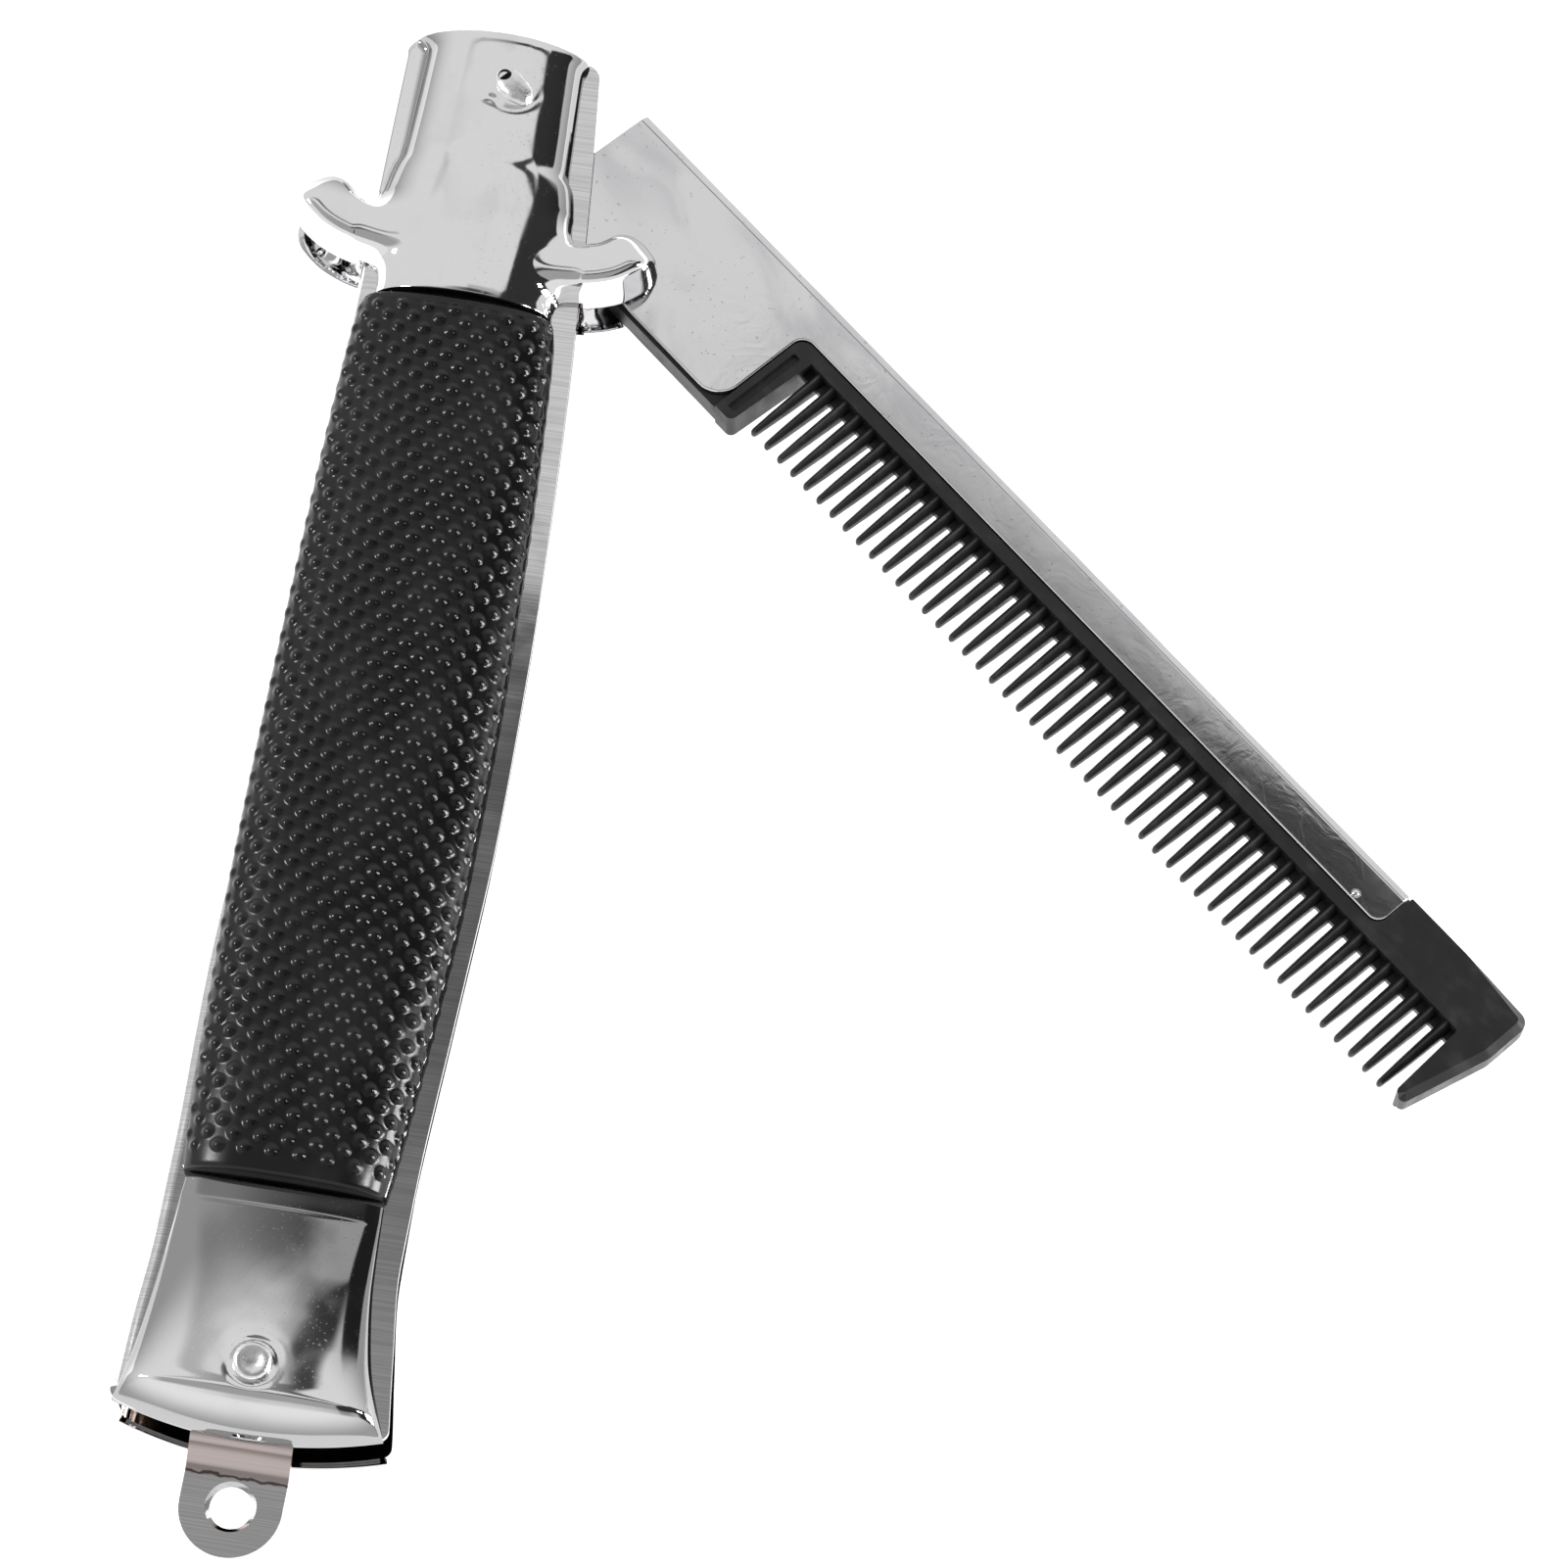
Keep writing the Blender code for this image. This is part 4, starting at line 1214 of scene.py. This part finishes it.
@dataclass
class StuddedGrip:
    """The black grip scale with its moulded studs, in rows set half a pitch apart."""

    rows: Tuple[Row, ...] = (
        # y, left, right, height, bow, fullness
        (-18.2, -7.05, 5.35, 2.3, 0.0, 2.4), (-18.85, -7.05, 5.35, 2.3, 0.0, 2.4),
        (-19.0, -8.5, 6.3, 2.62, 0.0, 2.4), (-20.4, -9.0, 6.75, 2.88, 0.0, 2.4),
        (-28.0, -9.35, 7.35, 3.04, 0.0, 2.4), (-40.0, -9.5, 8.0, 3.15, 0.0, 2.4),
        (-55.0, -9.6, 8.45, 3.25, 0.0, 2.4), (-66.0, -9.55, 8.45, 3.3, 0.0, 2.4),
        (-80.0, -9.1, 7.9, 3.3, 0.0, 2.4), (-91.2, -8.5, 7.1, 3.25, 0.0, 2.4),
        (-92.3, -8.35, 6.95, 3.15, 0.0, 2.4), (-92.6, -8.1, 6.7, 2.8, 0.0, 2.4),
    )
    base: float = 2.9
    foot: float = 0.9
    table_steps: int = 60
    arch_columns: int = 240
    pitch_across: float = 2.08
    pitch_along: float = 0.995
    cells: int = 7
    stud_radius: float = 0.5
    stud_height: float = 0.22
    stud_power: float = 0.9
    fade_across: float = 1.5
    studs_along: Pair = (-91.3, -19.6)
    reach_across: float = 11.0
    probe: float = 0.1

    def sections(self) -> List[List[Point]]:
        """The grip's sections, evenly spaced along it, with the studs raised on them.

        Returns:
            The sections, from the grip's upper end down.
        """
        gaps = len(self.rows) - 1
        fine = [eased(self.rows, place) for place in np.linspace(0, gaps, self.table_steps * gaps)]
        table = np.array(fine)[::-1]
        start, step = self.rows[0][0], self.pitch_along / self.cells
        result = []
        for index in range(int((start - self.rows[-1][0]) / step) + 1):
            y = start - index * step
            row = [y, *[float(np.interp(y, table[:, 0], table[:, k])) for k in range(1, 6)]]
            result.append(self.section(row, index))
        return result

    def section(self, row: Row, index: int) -> List[Point]:
        """One section of the grip.

        Args:
            row: Its y, left, right, height, bow and fullness.
            index: Its number.

        Returns:
            Its points, evenly spaced over the arch and straight down beside it.
        """
        low, high = self.studs_along
        arch = np.array(arch_section(row, self.arch_columns, self.base, self.base)[1:-1])
        length = run_along(arch[:, 0], arch[:, 2])
        half = length[-1] / 2
        cell = self.pitch_across / 2 / self.cells
        columns = int(self.reach_across / cell)
        points = []
        for column in range(-columns, columns + 1):
            along = abs(column * cell)
            (x, z), ahead, behind = ([float(np.interp(half + column * cell + shift, length, arch[:, k]))
                                      for k in (0, 2)] for shift in (0.0, self.probe, -self.probe))
            tangent = Vector((ahead[0] - behind[0], ahead[1] - behind[1]))
            tangent = tangent.normalized() if tangent.length > NEAR else Vector((1, 0))
            rise = self.stud(index, column) if low < row[0] < high else 0.0
            rise *= min(max((half - along) / self.fade_across, 0.0), 1.0)
            points.append((x - tangent.y * rise, row[0], z - max(along - half, 0.0) + tangent.x * rise))
        return points

    def stud(self, index: int, column: int) -> float:
        """How high a stud stands at a crossing of the grid.

        Args:
            index: The crossing's row.
            column: Its column, counted from the middle.

        Returns:
            The height over the plain surface.
        """
        best = 0.0
        row = round(index / self.cells)
        for near in (row - 1, row, row + 1):
            across = (column - (self.cells if near % 2 else 0)) / (2 * self.cells)
            dx = (across - round(across)) * self.pitch_across
            dy = (index / self.cells - near) * self.pitch_along
            away = (dx * dx + dy * dy) / self.stud_radius**2
            if away < 1:
                best = max(best, self.stud_height * (1 - away) ** self.stud_power)
        return best

    def build(self, shop: Workshop, finishes: Finishes) -> None:
        """Make both grips and dress them.

        Args:
            shop: The workshop.
            finishes: The materials.
        """
        bm = lowered_ends(self.sections(), self.foot)
        bmesh.ops.recalc_face_normals(bm, faces=bm.faces)
        slice_at(bm, (0, 0, LEVELS.seat), (0, 0, -1), drop=True)
        front = shop.to_object("studded_grip_front", close_up(bm))
        shop.finish_pair(front, finishes.gloss, "grip", 60)


@dataclass
class EndBolster:
    """The drawn cover at the handle's end, open towards the grip."""

    rows: Tuple[Row, ...] = (
        # y, left, right, height, bow, fullness
        (-91.6, -8.1, 6.85, 1.06, 0.0, 2.2), (-92.9, -8.1, 6.85, 1.08, 0.0, 2.2),
        (-94.2, -8.2, 6.9, 1.1, 0.0, 2.2), (-94.7, -8.22, 6.92, 1.17, 0.0, 2.2),
        (-99.0, -8.45, 7.2, 1.8, 0.0, 2.25), (-105.0, -9.0, 8.2, 2.66, 0.0, 2.5),
        (-108.0, -9.4, 9.2, 3.1, 0.1, 2.8), (-108.8, -9.55, 9.5, 3.22, 0.2, 3.0),
        (-109.3, -9.65, 9.7, 2.9, 0.45, 3.1), (-110.2, -9.95, 10.05, 1.3, 1.3, 3.4),
        (-110.4, -10.0, 10.1, 0.4, 1.55, 3.4),
    )
    steps: Tuple[int, ...] = (2, 12, 6, 18, 26, 14, 6, 6, 8, 4)
    base: float = 2.9
    foot: float = 1.4
    open_y: float = -92.9
    thickness: float = 0.5
    columns: int = 100
    rings: Tuple[Point, ...] = ((1.85, 0.24, 0.045), (2.5, 0.4, 0.004))

    def stamping(self, place: Vector) -> float:
        """How deep the press marks round the rivet are at a place."""
        return sum(ring_groove(place, LOW_RIVET, *ring) for ring in self.rings)

    def build(self, shop: Workshop, finishes: Finishes) -> None:
        """Make both covers and dress them.

        Args:
            shop: The workshop.
            finishes: The materials.
        """
        bm = cover_sheet(self.rows, self.steps, self.columns, self.base, self.foot)
        bmesh.ops.recalc_face_normals(bm, faces=bm.faces)
        dent(bm, self.stamping)
        slice_at(bm, (0, self.open_y, 0), (0, 1, 0), drop=True)
        slice_at(bm, (0, 0, LEVELS.seat), (0, 0, -1), drop=True)
        bmesh.ops.remove_doubles(bm, verts=bm.verts, dist=WELD)
        bmesh.ops.recalc_face_normals(bm, faces=bm.faces)
        front = shop.to_object("end_bolster_front", bm)
        shop.thicken(front, self.thickness)
        shop.finish_pair(front, finishes.chrome, "bolster_bottom")


@dataclass
class Rivets:
    """The peened pivot through the handle and a short rivet in each end bolster."""

    pin_radius: float = 1.3
    shank_top: float = 5.9
    blob_half: Point = (1.92, 1.18, 0.62)
    blob_turn: float = -42.0
    blob_level: float = 5.98
    lump: float = 0.05
    taper: float = 0.12
    squareness: float = 0.8
    mouth: Point = (-1.2, 0.0, 0.35)
    mouth_radius: float = 0.54
    mouth_tilt: float = -22
    mouth_levels: Pair = (-0.16, 1.0)
    softness: Pair = (0.05, 40)
    low_profile: Tuple[Pair, ...] = (
        (0.0, 6.48), (0.45, 6.47), (0.75, 6.5), (1.0, 6.58), (1.2, 6.56), (1.38, 6.42), (1.45, 6.2),
        (1.45, 5.7), (1.1, 5.6), (1.1, 2.2), (0.0, 2.2),
    )
    back_profile: Tuple[Pair, ...] = (
        (0.0, -6.6), (0.8, -6.59), (1.3, -6.5), (1.62, -6.32), (1.72, -6.1), (1.72, -5.8), (1.3, -5.7),
    )
    dimple: Span = (0.1, -0.1, 0.32, 0.55)
    dimple_depth: float = 0.16
    head_above: float = 6.0

    def pivot(self, shop: Workshop) -> Piece:
        """The pivot: a shank with a plain head behind and a peened blob in front.

        Args:
            shop: The workshop.

        Returns:
            The pivot, not finished yet.
        """
        shank = turned((*self.back_profile, (self.pin_radius, self.shank_top), (0.0, self.shank_top)), PIVOT)
        pivot = shop.to_object("peened_pivot", shank)
        blob = ball((0, 0, 0), 1.0, 5)
        wide, deep, tall = self.blob_half
        for vert in blob.verts:
            x, y, z = vert.co
            lump = 1 + self.lump * math.sin(5 * x + 2 * y) * math.cos(4 * y - 3 * z)
            vert.co = (x * wide * lump, y * deep * lump * (1 - self.taper * x),
                       math.copysign(abs(z) ** self.squareness, z) * tall)
        turn = Matrix.Rotation(math.radians(self.blob_turn), 4, "Z")
        place = Matrix.Translation((0, 0, self.blob_level)) @ turn
        bmesh.ops.transform(blob, matrix=place, verts=blob.verts)
        shop.cut(pivot, blob, Cut.JOIN)
        mouth = pin((0, 0), self.mouth_radius, *self.mouth_levels)
        tilt = Matrix.Translation(self.mouth) @ Matrix.Rotation(math.radians(self.mouth_tilt), 4, "Y")
        bmesh.ops.transform(mouth, matrix=place @ tilt, verts=mouth.verts)
        shop.cut(pivot, mouth)
        shop.soften(pivot, *self.softness)
        return pivot

    def build(self, shop: Workshop, finishes: Finishes) -> None:
        """Make the rivets and dress them.

        Args:
            shop: The workshop.
            finishes: The materials.
        """
        shop.finish_piece(self.pivot(shop), finishes.rivet, Body.HANDLE, ["pivot_rivet"])
        head = turned(self.low_profile, LOW_RIVET)
        x, y, wide, tall = self.dimple
        for vert in head.verts:
            dx, dy = vert.co.x - LOW_RIVET[0] - x, vert.co.y - LOW_RIVET[1] - y
            if vert.co.z > self.head_above:
                vert.co.z -= self.dimple_depth * math.exp(-((dx / wide) ** 2 + (dy / tall) ** 2))
        front = shop.to_object("domed_rivet_front", head)
        shop.finish_pair(front, finishes.rivet, "bottom_rivet")


@dataclass
class SteelChannel:
    """The comb's folded steel: the wide tang, its notch and the slim channel."""

    spine: float = -8.5
    tang_end: float = 6.9
    tang_skew: float = -0.3
    tang_low: float = 4.6
    notch: float = 30.05
    channel_low: float = -4.5
    channel_end: float = 96.1
    half: float = 1.7
    sheet: float = 0.5
    rounding: float = 1.25
    rounding_inside: float = 0.4
    stake: Point = (93.2, -5.0, 0.12)
    stake_radius: float = 0.42
    edge_softness: float = 0.14

    def outline(self) -> List[Vector]:
        """The outline of the folded steel.

        Returns:
            Its points.
        """
        return filleted([
            (self.tang_end, self.spine, 0), (self.channel_end, self.spine, 0),
            (self.channel_end, self.channel_low, 1.0), (self.notch, self.channel_low, 1.1),
            (self.notch, self.tang_low, 2.2), (self.tang_end + self.tang_skew, self.tang_low, 1.0),
        ])

    def build(self, shop: Workshop, finishes: Finishes) -> None:
        """Make the channel and dress it.

        Args:
            shop: The workshop.
            finishes: The materials.
        """
        plate = outline_plate(self.outline(), -self.half, self.half)
        round_edges(plate, lambda place: abs(place.y - self.spine) < NEAR, self.rounding, 6)
        channel = shop.to_object("steel_channel", plate)
        inner, room_half = self.spine + self.sheet, self.half - self.sheet
        room = outline_plate([(0, inner), (REACH, inner), (REACH, REACH), (0, REACH)], -room_half, room_half)
        round_edges(room, lambda place: abs(place.y - inner) < NEAR, self.rounding_inside, 3)
        shop.cut(channel, room)
        shop.soften(channel, self.edge_softness)
        along, across, out = self.stake
        for side in (-1, 1):
            shop.cut(channel, ball((along, across, side * (self.half + out)), self.stake_radius, 4))
        shop.finish_piece(channel, finishes.satin, Body.COMB, ["comb_spine"], flat=True)


@dataclass
class MouldedComb:
    """The plastic comb: rail, heel, ridged teeth, webs between their roots and the solid end."""

    half: float = 1.5
    core_half: float = 1.05
    start: float = 15.3
    fold: float = -7.55
    back: float = -8.05
    strip: float = 4.85
    root: float = -3.3
    web_low: float = -2.45
    web_half: float = 0.3
    heel_end: float = 31.95
    teeth_end: float = 106.2
    end: float = 109.3
    end_low: float = -3.7
    end_tip: Tuple[Point, ...] = ((107.6, 3.75, 0.5), (106.6, 3.5, 0.4))
    step: float = 96.28
    steel_end: float = 96.13
    steel_low: float = -4.42
    notch: float = 30.13
    tooth_count: int = 47
    tooth_first: float = 33.4
    tooth_pitch: float = 1.5596
    tooth_tip: float = 3.85
    tooth_ridge: Tuple[Pair, ...] = ((0.0, 1.0), (0.16, 0.93), (0.42, 0.52), (0.5, 0.30))
    tooth_taper: Tuple[Pair, ...] = ((0.0, 1.0), (0.35, 0.86), (0.7, 0.68), (0.955, 0.5))
    root_width: float = 1.06
    root_half: float = 1.35
    sunk: float = 0.4
    tip_steps: int = 4
    edge_softness: float = 0.13
    facet_from: float = 106.9
    facet: float = 0.6
    panel: Tuple[Point, ...] = ((30.75, -2.9, 0.2), (31.5, -2.9, 0.2), (31.5, 4.1, 0.2), (30.75, 4.1, 0.2))
    panel_depth: float = 0.35

    def outline(self) -> List[Vector]:
        """The outline of the plastic without its teeth.

        Returns:
            Its points.
        """
        return filleted([
            (self.start, self.fold, 0), (self.step, self.fold, 0), (self.step, self.back, 0.15),
            (self.end, self.back, 1.0), (self.end, self.end_low, 2.0), *self.end_tip,
            (self.teeth_end, self.root, 0.3), (self.heel_end + self.sunk, self.root, 0),
            (self.heel_end, self.strip, 0.6), (self.start, self.strip, 0.3),
        ])

    def steel(self) -> List[Vector]:
        """The outline of what the folded steel covers.

        Returns:
            Its points.
        """
        return filleted([
            (0, -REACH, 0), (self.steel_end, -REACH, 0), (self.steel_end, self.steel_low, 1.0),
            (self.notch, self.steel_low, 1.1), (self.notch, REACH, 0), (0, REACH, 0),
        ])

    def tooth(self) -> Mesh:
        """One tooth at the origin: its root at 0, running towards +Y, with a ridge on each face.

        Returns:
            The tooth, closed.
        """
        half = [*self.tooth_ridge, *[(w, -h) for w, h in reversed(self.tooth_ridge)]]
        ring = [*half, *[(-w, h) for w, h in reversed(half[1:-1])], half[0]]
        length = self.tooth_tip - self.root + self.sunk
        start, width = self.tooth_taper[-1]
        tip = [(start + (1 - start) * ahead, width * share) for ahead, share in quarter_turn(self.tip_steps)]
        return close_up(grid_through([
            [(w * self.root_width * size, share * length, h * self.root_half * size) for w, h in ring]
            for share, size in (*self.tooth_taper, *tip)]))

    def teeth(self) -> Mesh:
        """All teeth in their row.

        Returns:
            The teeth.
        """
        bm = bmesh.new()
        for index in range(self.tooth_count):
            tooth = self.tooth()
            place = (self.tooth_first + index * self.tooth_pitch, self.root - self.sunk, 0)
            bmesh.ops.translate(tooth, vec=place, verts=tooth.verts)
            join(bm, tooth)
        return bm

    def build(self, shop: Workshop, finishes: Finishes) -> None:
        """Make the comb and dress it.

        Args:
            shop: The workshop.
            finishes: The materials.
        """
        block = outline_plate(self.outline(), -self.half, self.half)
        round_edges(block, lambda place: place.x > self.facet_from, self.facet, 1)
        comb = shop.to_object("moulded_comb", block)
        panel, steel = filleted(self.panel), self.steel()
        sunk, core, top = self.half - self.panel_depth, self.core_half, LEVELS.top
        for outline, low, high in ((panel, -top, -sunk), (panel, sunk, top), (steel, core, top),
                                   (steel, -top, -core)):
            shop.cut(comb, outline_plate(outline, low, high))
        shop.soften(comb, self.edge_softness)
        bm = self.teeth()
        left, right, low = self.heel_end - self.sunk, self.teeth_end + self.sunk, self.root - self.sunk
        web = [(left, low), (right, low), (right, self.web_low), (left, self.web_low)]
        join(bm, outline_plate(web, -self.web_half, self.web_half))
        bm.from_mesh(comb.data)
        shop.store(bm, comb)
        shop.finish_piece(comb, finishes.matt, Body.COMB, ["comb_teeth"], flat=True)


@dataclass
class PivotArm:
    """The hidden arm: a round eye on the pivot that widens inside the tang."""

    half: float = 0.95
    eye_radius: float = 3.6
    eye_span: Pair = (100, 160)
    hole_radius: float = 1.4
    neck: Tuple[Point, ...] = ((9.0, -1.8, 0.6), (10.5, -5.2, 0.6), (15.0, -5.2, 0.0), (15.0, 4.0, 0.0),
                               (10.0, 4.0, 0.6), (7.6, 3.6, 0.6))
    edge_softness: float = 0.08

    def build(self, shop: Workshop, finishes: Finishes) -> None:
        """Make the arm and dress it.

        Args:
            shop: The workshop.
            finishes: The materials.
        """
        eye = [(x, y, 0.0) for x, y in arc(PIVOT, self.eye_radius, *self.eye_span, ROUND_STEPS // 2)]
        plate = outline_plate(filleted([*eye, *self.neck]), -self.half, self.half)
        arm = shop.to_object("pivot_arm", plate)
        shop.cut(arm, pin(PIVOT, self.hole_radius))
        shop.soften(arm, self.edge_softness)
        shop.finish_piece(arm, finishes.sheet, Body.COMB, ["tang_arm"], flat=True)


@dataclass(frozen=True)
class Studio:
    """The floor, the panels of light round it, the lamps and the camera.

    The world is lit by the direction x, y, z of a ray; ahead is y over z.
    """

    panel: float = 0.72
    panel_along: Pair = (-0.10, 0.02)
    panel_edge: Pair = (0.444, 0.441)
    edge_blur: float = 0.006
    panel_foot: float = 0.46
    foot_reach: Pair = (0.490, 0.516)
    foot_side: Pair = (-0.08, -0.05)
    ceiling: Pair = (0.44, 0.048)
    ceiling_reach: Pair = (-0.30, -0.02)
    overhead: float = 0.36
    overhead_reach: Pair = (0.24, 0.36)
    hall: Pair = (0.46, 0.05)
    hall_reach: Pair = (-0.28, 0.04)
    hall_ahead: Span = (0.63, 0.66, 0.73, 0.80)
    hall_height: Pair = (0.72, 0.78)
    gap: float = 0.03
    gap_edge: Pair = (0.29, 0.40)
    gap_turn: Pair = (0.40, 0.56)
    gap_blur: float = 0.02
    gap_foot: Pair = (0.34, 0.40)
    gap_end: Pair = (0.58, 0.66)
    left_reach: Pair = (-0.62, -0.45)
    front: float = 0.82
    front_reach: Pair = (-0.42, -0.28)
    front_height: Pair = (0.66, 0.80)
    floor_grey: float = 0.8
    floor_glow: float = 0.72
    floor_half: float = 3.0
    lamps_set: Tuple[Span, ...] = (
        # azimuth, elevation, size, watts
        (8.0, 45.0, 0.14, 1.9), (173.0, 41.0, 0.14, 1.7), (4.0, 20.0, 0.32, 6.0),
    )
    lamp_aim: Point = (0.03, -0.055, 0)
    lamp_distance: float = 0.85
    camera_place: Point = (50.855, -213.226, 395.689)
    camera_right: Point = (0.98726, 0.15858, 0.01336)
    camera_up: Point = (-0.15158, 0.91146, 0.38245)
    camera_back: Point = (0.04848, -0.37960, 0.92388)
    camera_clip: Pair = (0.01, 20.0)
    sensor: float = 36.0
    lens_pixels: float = 5600.0
    frame_pixels: float = 1601.0

    def surroundings(self) -> None:
        """Light the world by direction: bright panels, a dark gap on the right and a dim ceiling."""
        world = bpy.data.worlds.new("studio")
        world.use_nodes = True
        bpy.context.scene.world = world
        graph = Graph(world.node_tree)
        x, y, z = graph.axes(graph.node("TexCoord", output="Generated"))
        along, ahead = graph.math("DIVIDE", x, z), graph.math("DIVIDE", y, z)
        (start, end), (low, high) = self.panel_along, self.panel_edge
        level = graph.node("MapRange", {"Value": along, "From Min": start, "From Max": end, "To Min": low,
                                        "To Max": high})
        on_panel = graph.ramp(graph.math("SUBTRACT", ahead, level), -self.edge_blur, self.edge_blur)
        roof = graph.blend(graph.ramp(ahead, *self.overhead_reach), self.overhead,
                           graph.ramp(x, *self.ceiling_reach, *self.ceiling))
        foot = graph.product(graph.ramp(ahead, *self.foot_reach, 1.0, 0.0), graph.ramp(x, *self.foot_side))
        far = graph.product(graph.band(ahead, *self.hall_ahead), graph.ramp(z, *self.hall_height))
        panel = graph.blend(foot, self.panel, self.panel_foot)
        panel = graph.blend(far, panel, graph.ramp(x, *self.hall_reach, *self.hall))
        edge = graph.blend(graph.ramp(y, *self.gap_turn), *self.gap_edge)
        dark = graph.product(graph.ramp(graph.math("SUBTRACT", x, edge), -self.gap_blur, self.gap_blur),
                             graph.ramp(z, *self.gap_foot), graph.ramp(y, *self.gap_end, 1.0, 0.0))
        front = graph.product(graph.ramp(y, *self.front_reach, 1.0, 0.0),
                              graph.ramp(z, *self.front_height, 1.0, 0.0))
        value = graph.blend(on_panel, roof, panel)
        for share, light in ((dark, self.gap), (graph.ramp(z, *self.gap_foot, 1.0, 0.0), self.panel),
                             (graph.ramp(x, *self.left_reach, 1.0, 0.0), self.panel), (front, self.front)):
            value = graph.blend(share, value, light)
        background = world.node_tree.nodes["Background"]
        graph.feed(background.inputs["Color"], (1, 1, 1, 1))
        graph.feed(background.inputs["Strength"], value)

    def placed(self, data: bpy.types.ID) -> Piece:
        """An object of the scene for a lamp, a mesh or a camera.

        Args:
            data: The lamp, mesh or camera.

        Returns:
            The object.
        """
        obj = bpy.data.objects.new(data.name, data)
        bpy.context.scene.collection.objects.link(obj)
        return obj

    def lamps(self) -> None:
        """The small square lamps round the object."""
        for number, (azimuth, elevation, size, watts) in enumerate(self.lamps_set):
            light = bpy.data.lights.new(f"lamp_{number}", "AREA")
            light.shape, light.size, light.energy = "SQUARE", size, watts
            lamp = self.placed(light)
            turn, rise = math.radians(azimuth), math.radians(elevation)
            away = Vector((math.cos(rise) * math.cos(turn), math.cos(rise) * math.sin(turn), math.sin(rise)))
            lamp.location = Vector(self.lamp_aim) + away * self.lamp_distance
            lamp.rotation_mode = "QUATERNION"
            lamp.rotation_quaternion = away.to_track_quat("Z", "Y")

    def floor(self) -> None:
        """A plain pale floor under the object."""
        bm = bmesh.new()
        bmesh.ops.create_grid(bm, x_segments=1, y_segments=1, size=self.floor_half)
        mesh = bpy.data.meshes.new("floor")
        bm.to_mesh(mesh)
        bm.free()
        floor = self.placed(mesh)
        surface = Surface("floor_white", (self.floor_grey, self.floor_grey, self.floor_grey, 1.0), 0.0, 1.0)
        surface.set("Specular IOR Level", 0.0)
        surface.set("Emission Color", (1.0, 1.0, 1.0, 1.0))
        surface.set("Emission Strength", self.floor_glow)
        mesh.materials.append(surface.material)

    def camera(self) -> None:
        """The camera at the photograph's angle, distance and lens."""
        data = bpy.data.cameras.new("camera")
        data.sensor_width = self.sensor
        data.sensor_fit = "HORIZONTAL"
        data.lens = self.lens_pixels / self.frame_pixels * self.sensor
        data.clip_start, data.clip_end = self.camera_clip
        camera = self.placed(data)
        turn = Matrix((self.camera_right, self.camera_up, self.camera_back)).transposed()
        camera.matrix_world = Matrix.Translation(Vector(self.camera_place) * MM) @ turn.to_4x4()
        bpy.context.scene.camera = camera

    def build(self) -> None:
        """Set up the floor, the light and the camera."""
        bpy.context.scene.view_settings.view_transform = "Standard"
        self.surroundings()
        self.lamps()
        self.floor()
        self.camera()
        LOG.info("studio: floor, surroundings, %d lamps and camera", len(self.lamps_set))


def main() -> None:
    """Build the studio and every piece in order."""
    logging.basicConfig(level=logging.INFO, format="%(name)s: %(message)s")
    Studio().build()
    shop = Workshop()
    finishes = Finishes.make()
    for maker in (FoldedSheet(), GuardBolster(), StuddedGrip(), EndBolster(), Rivets(), SteelChannel(),
                  MouldedComb(), PivotArm()):
        maker.build(shop, finishes)


if __name__ == "__main__":
    main()
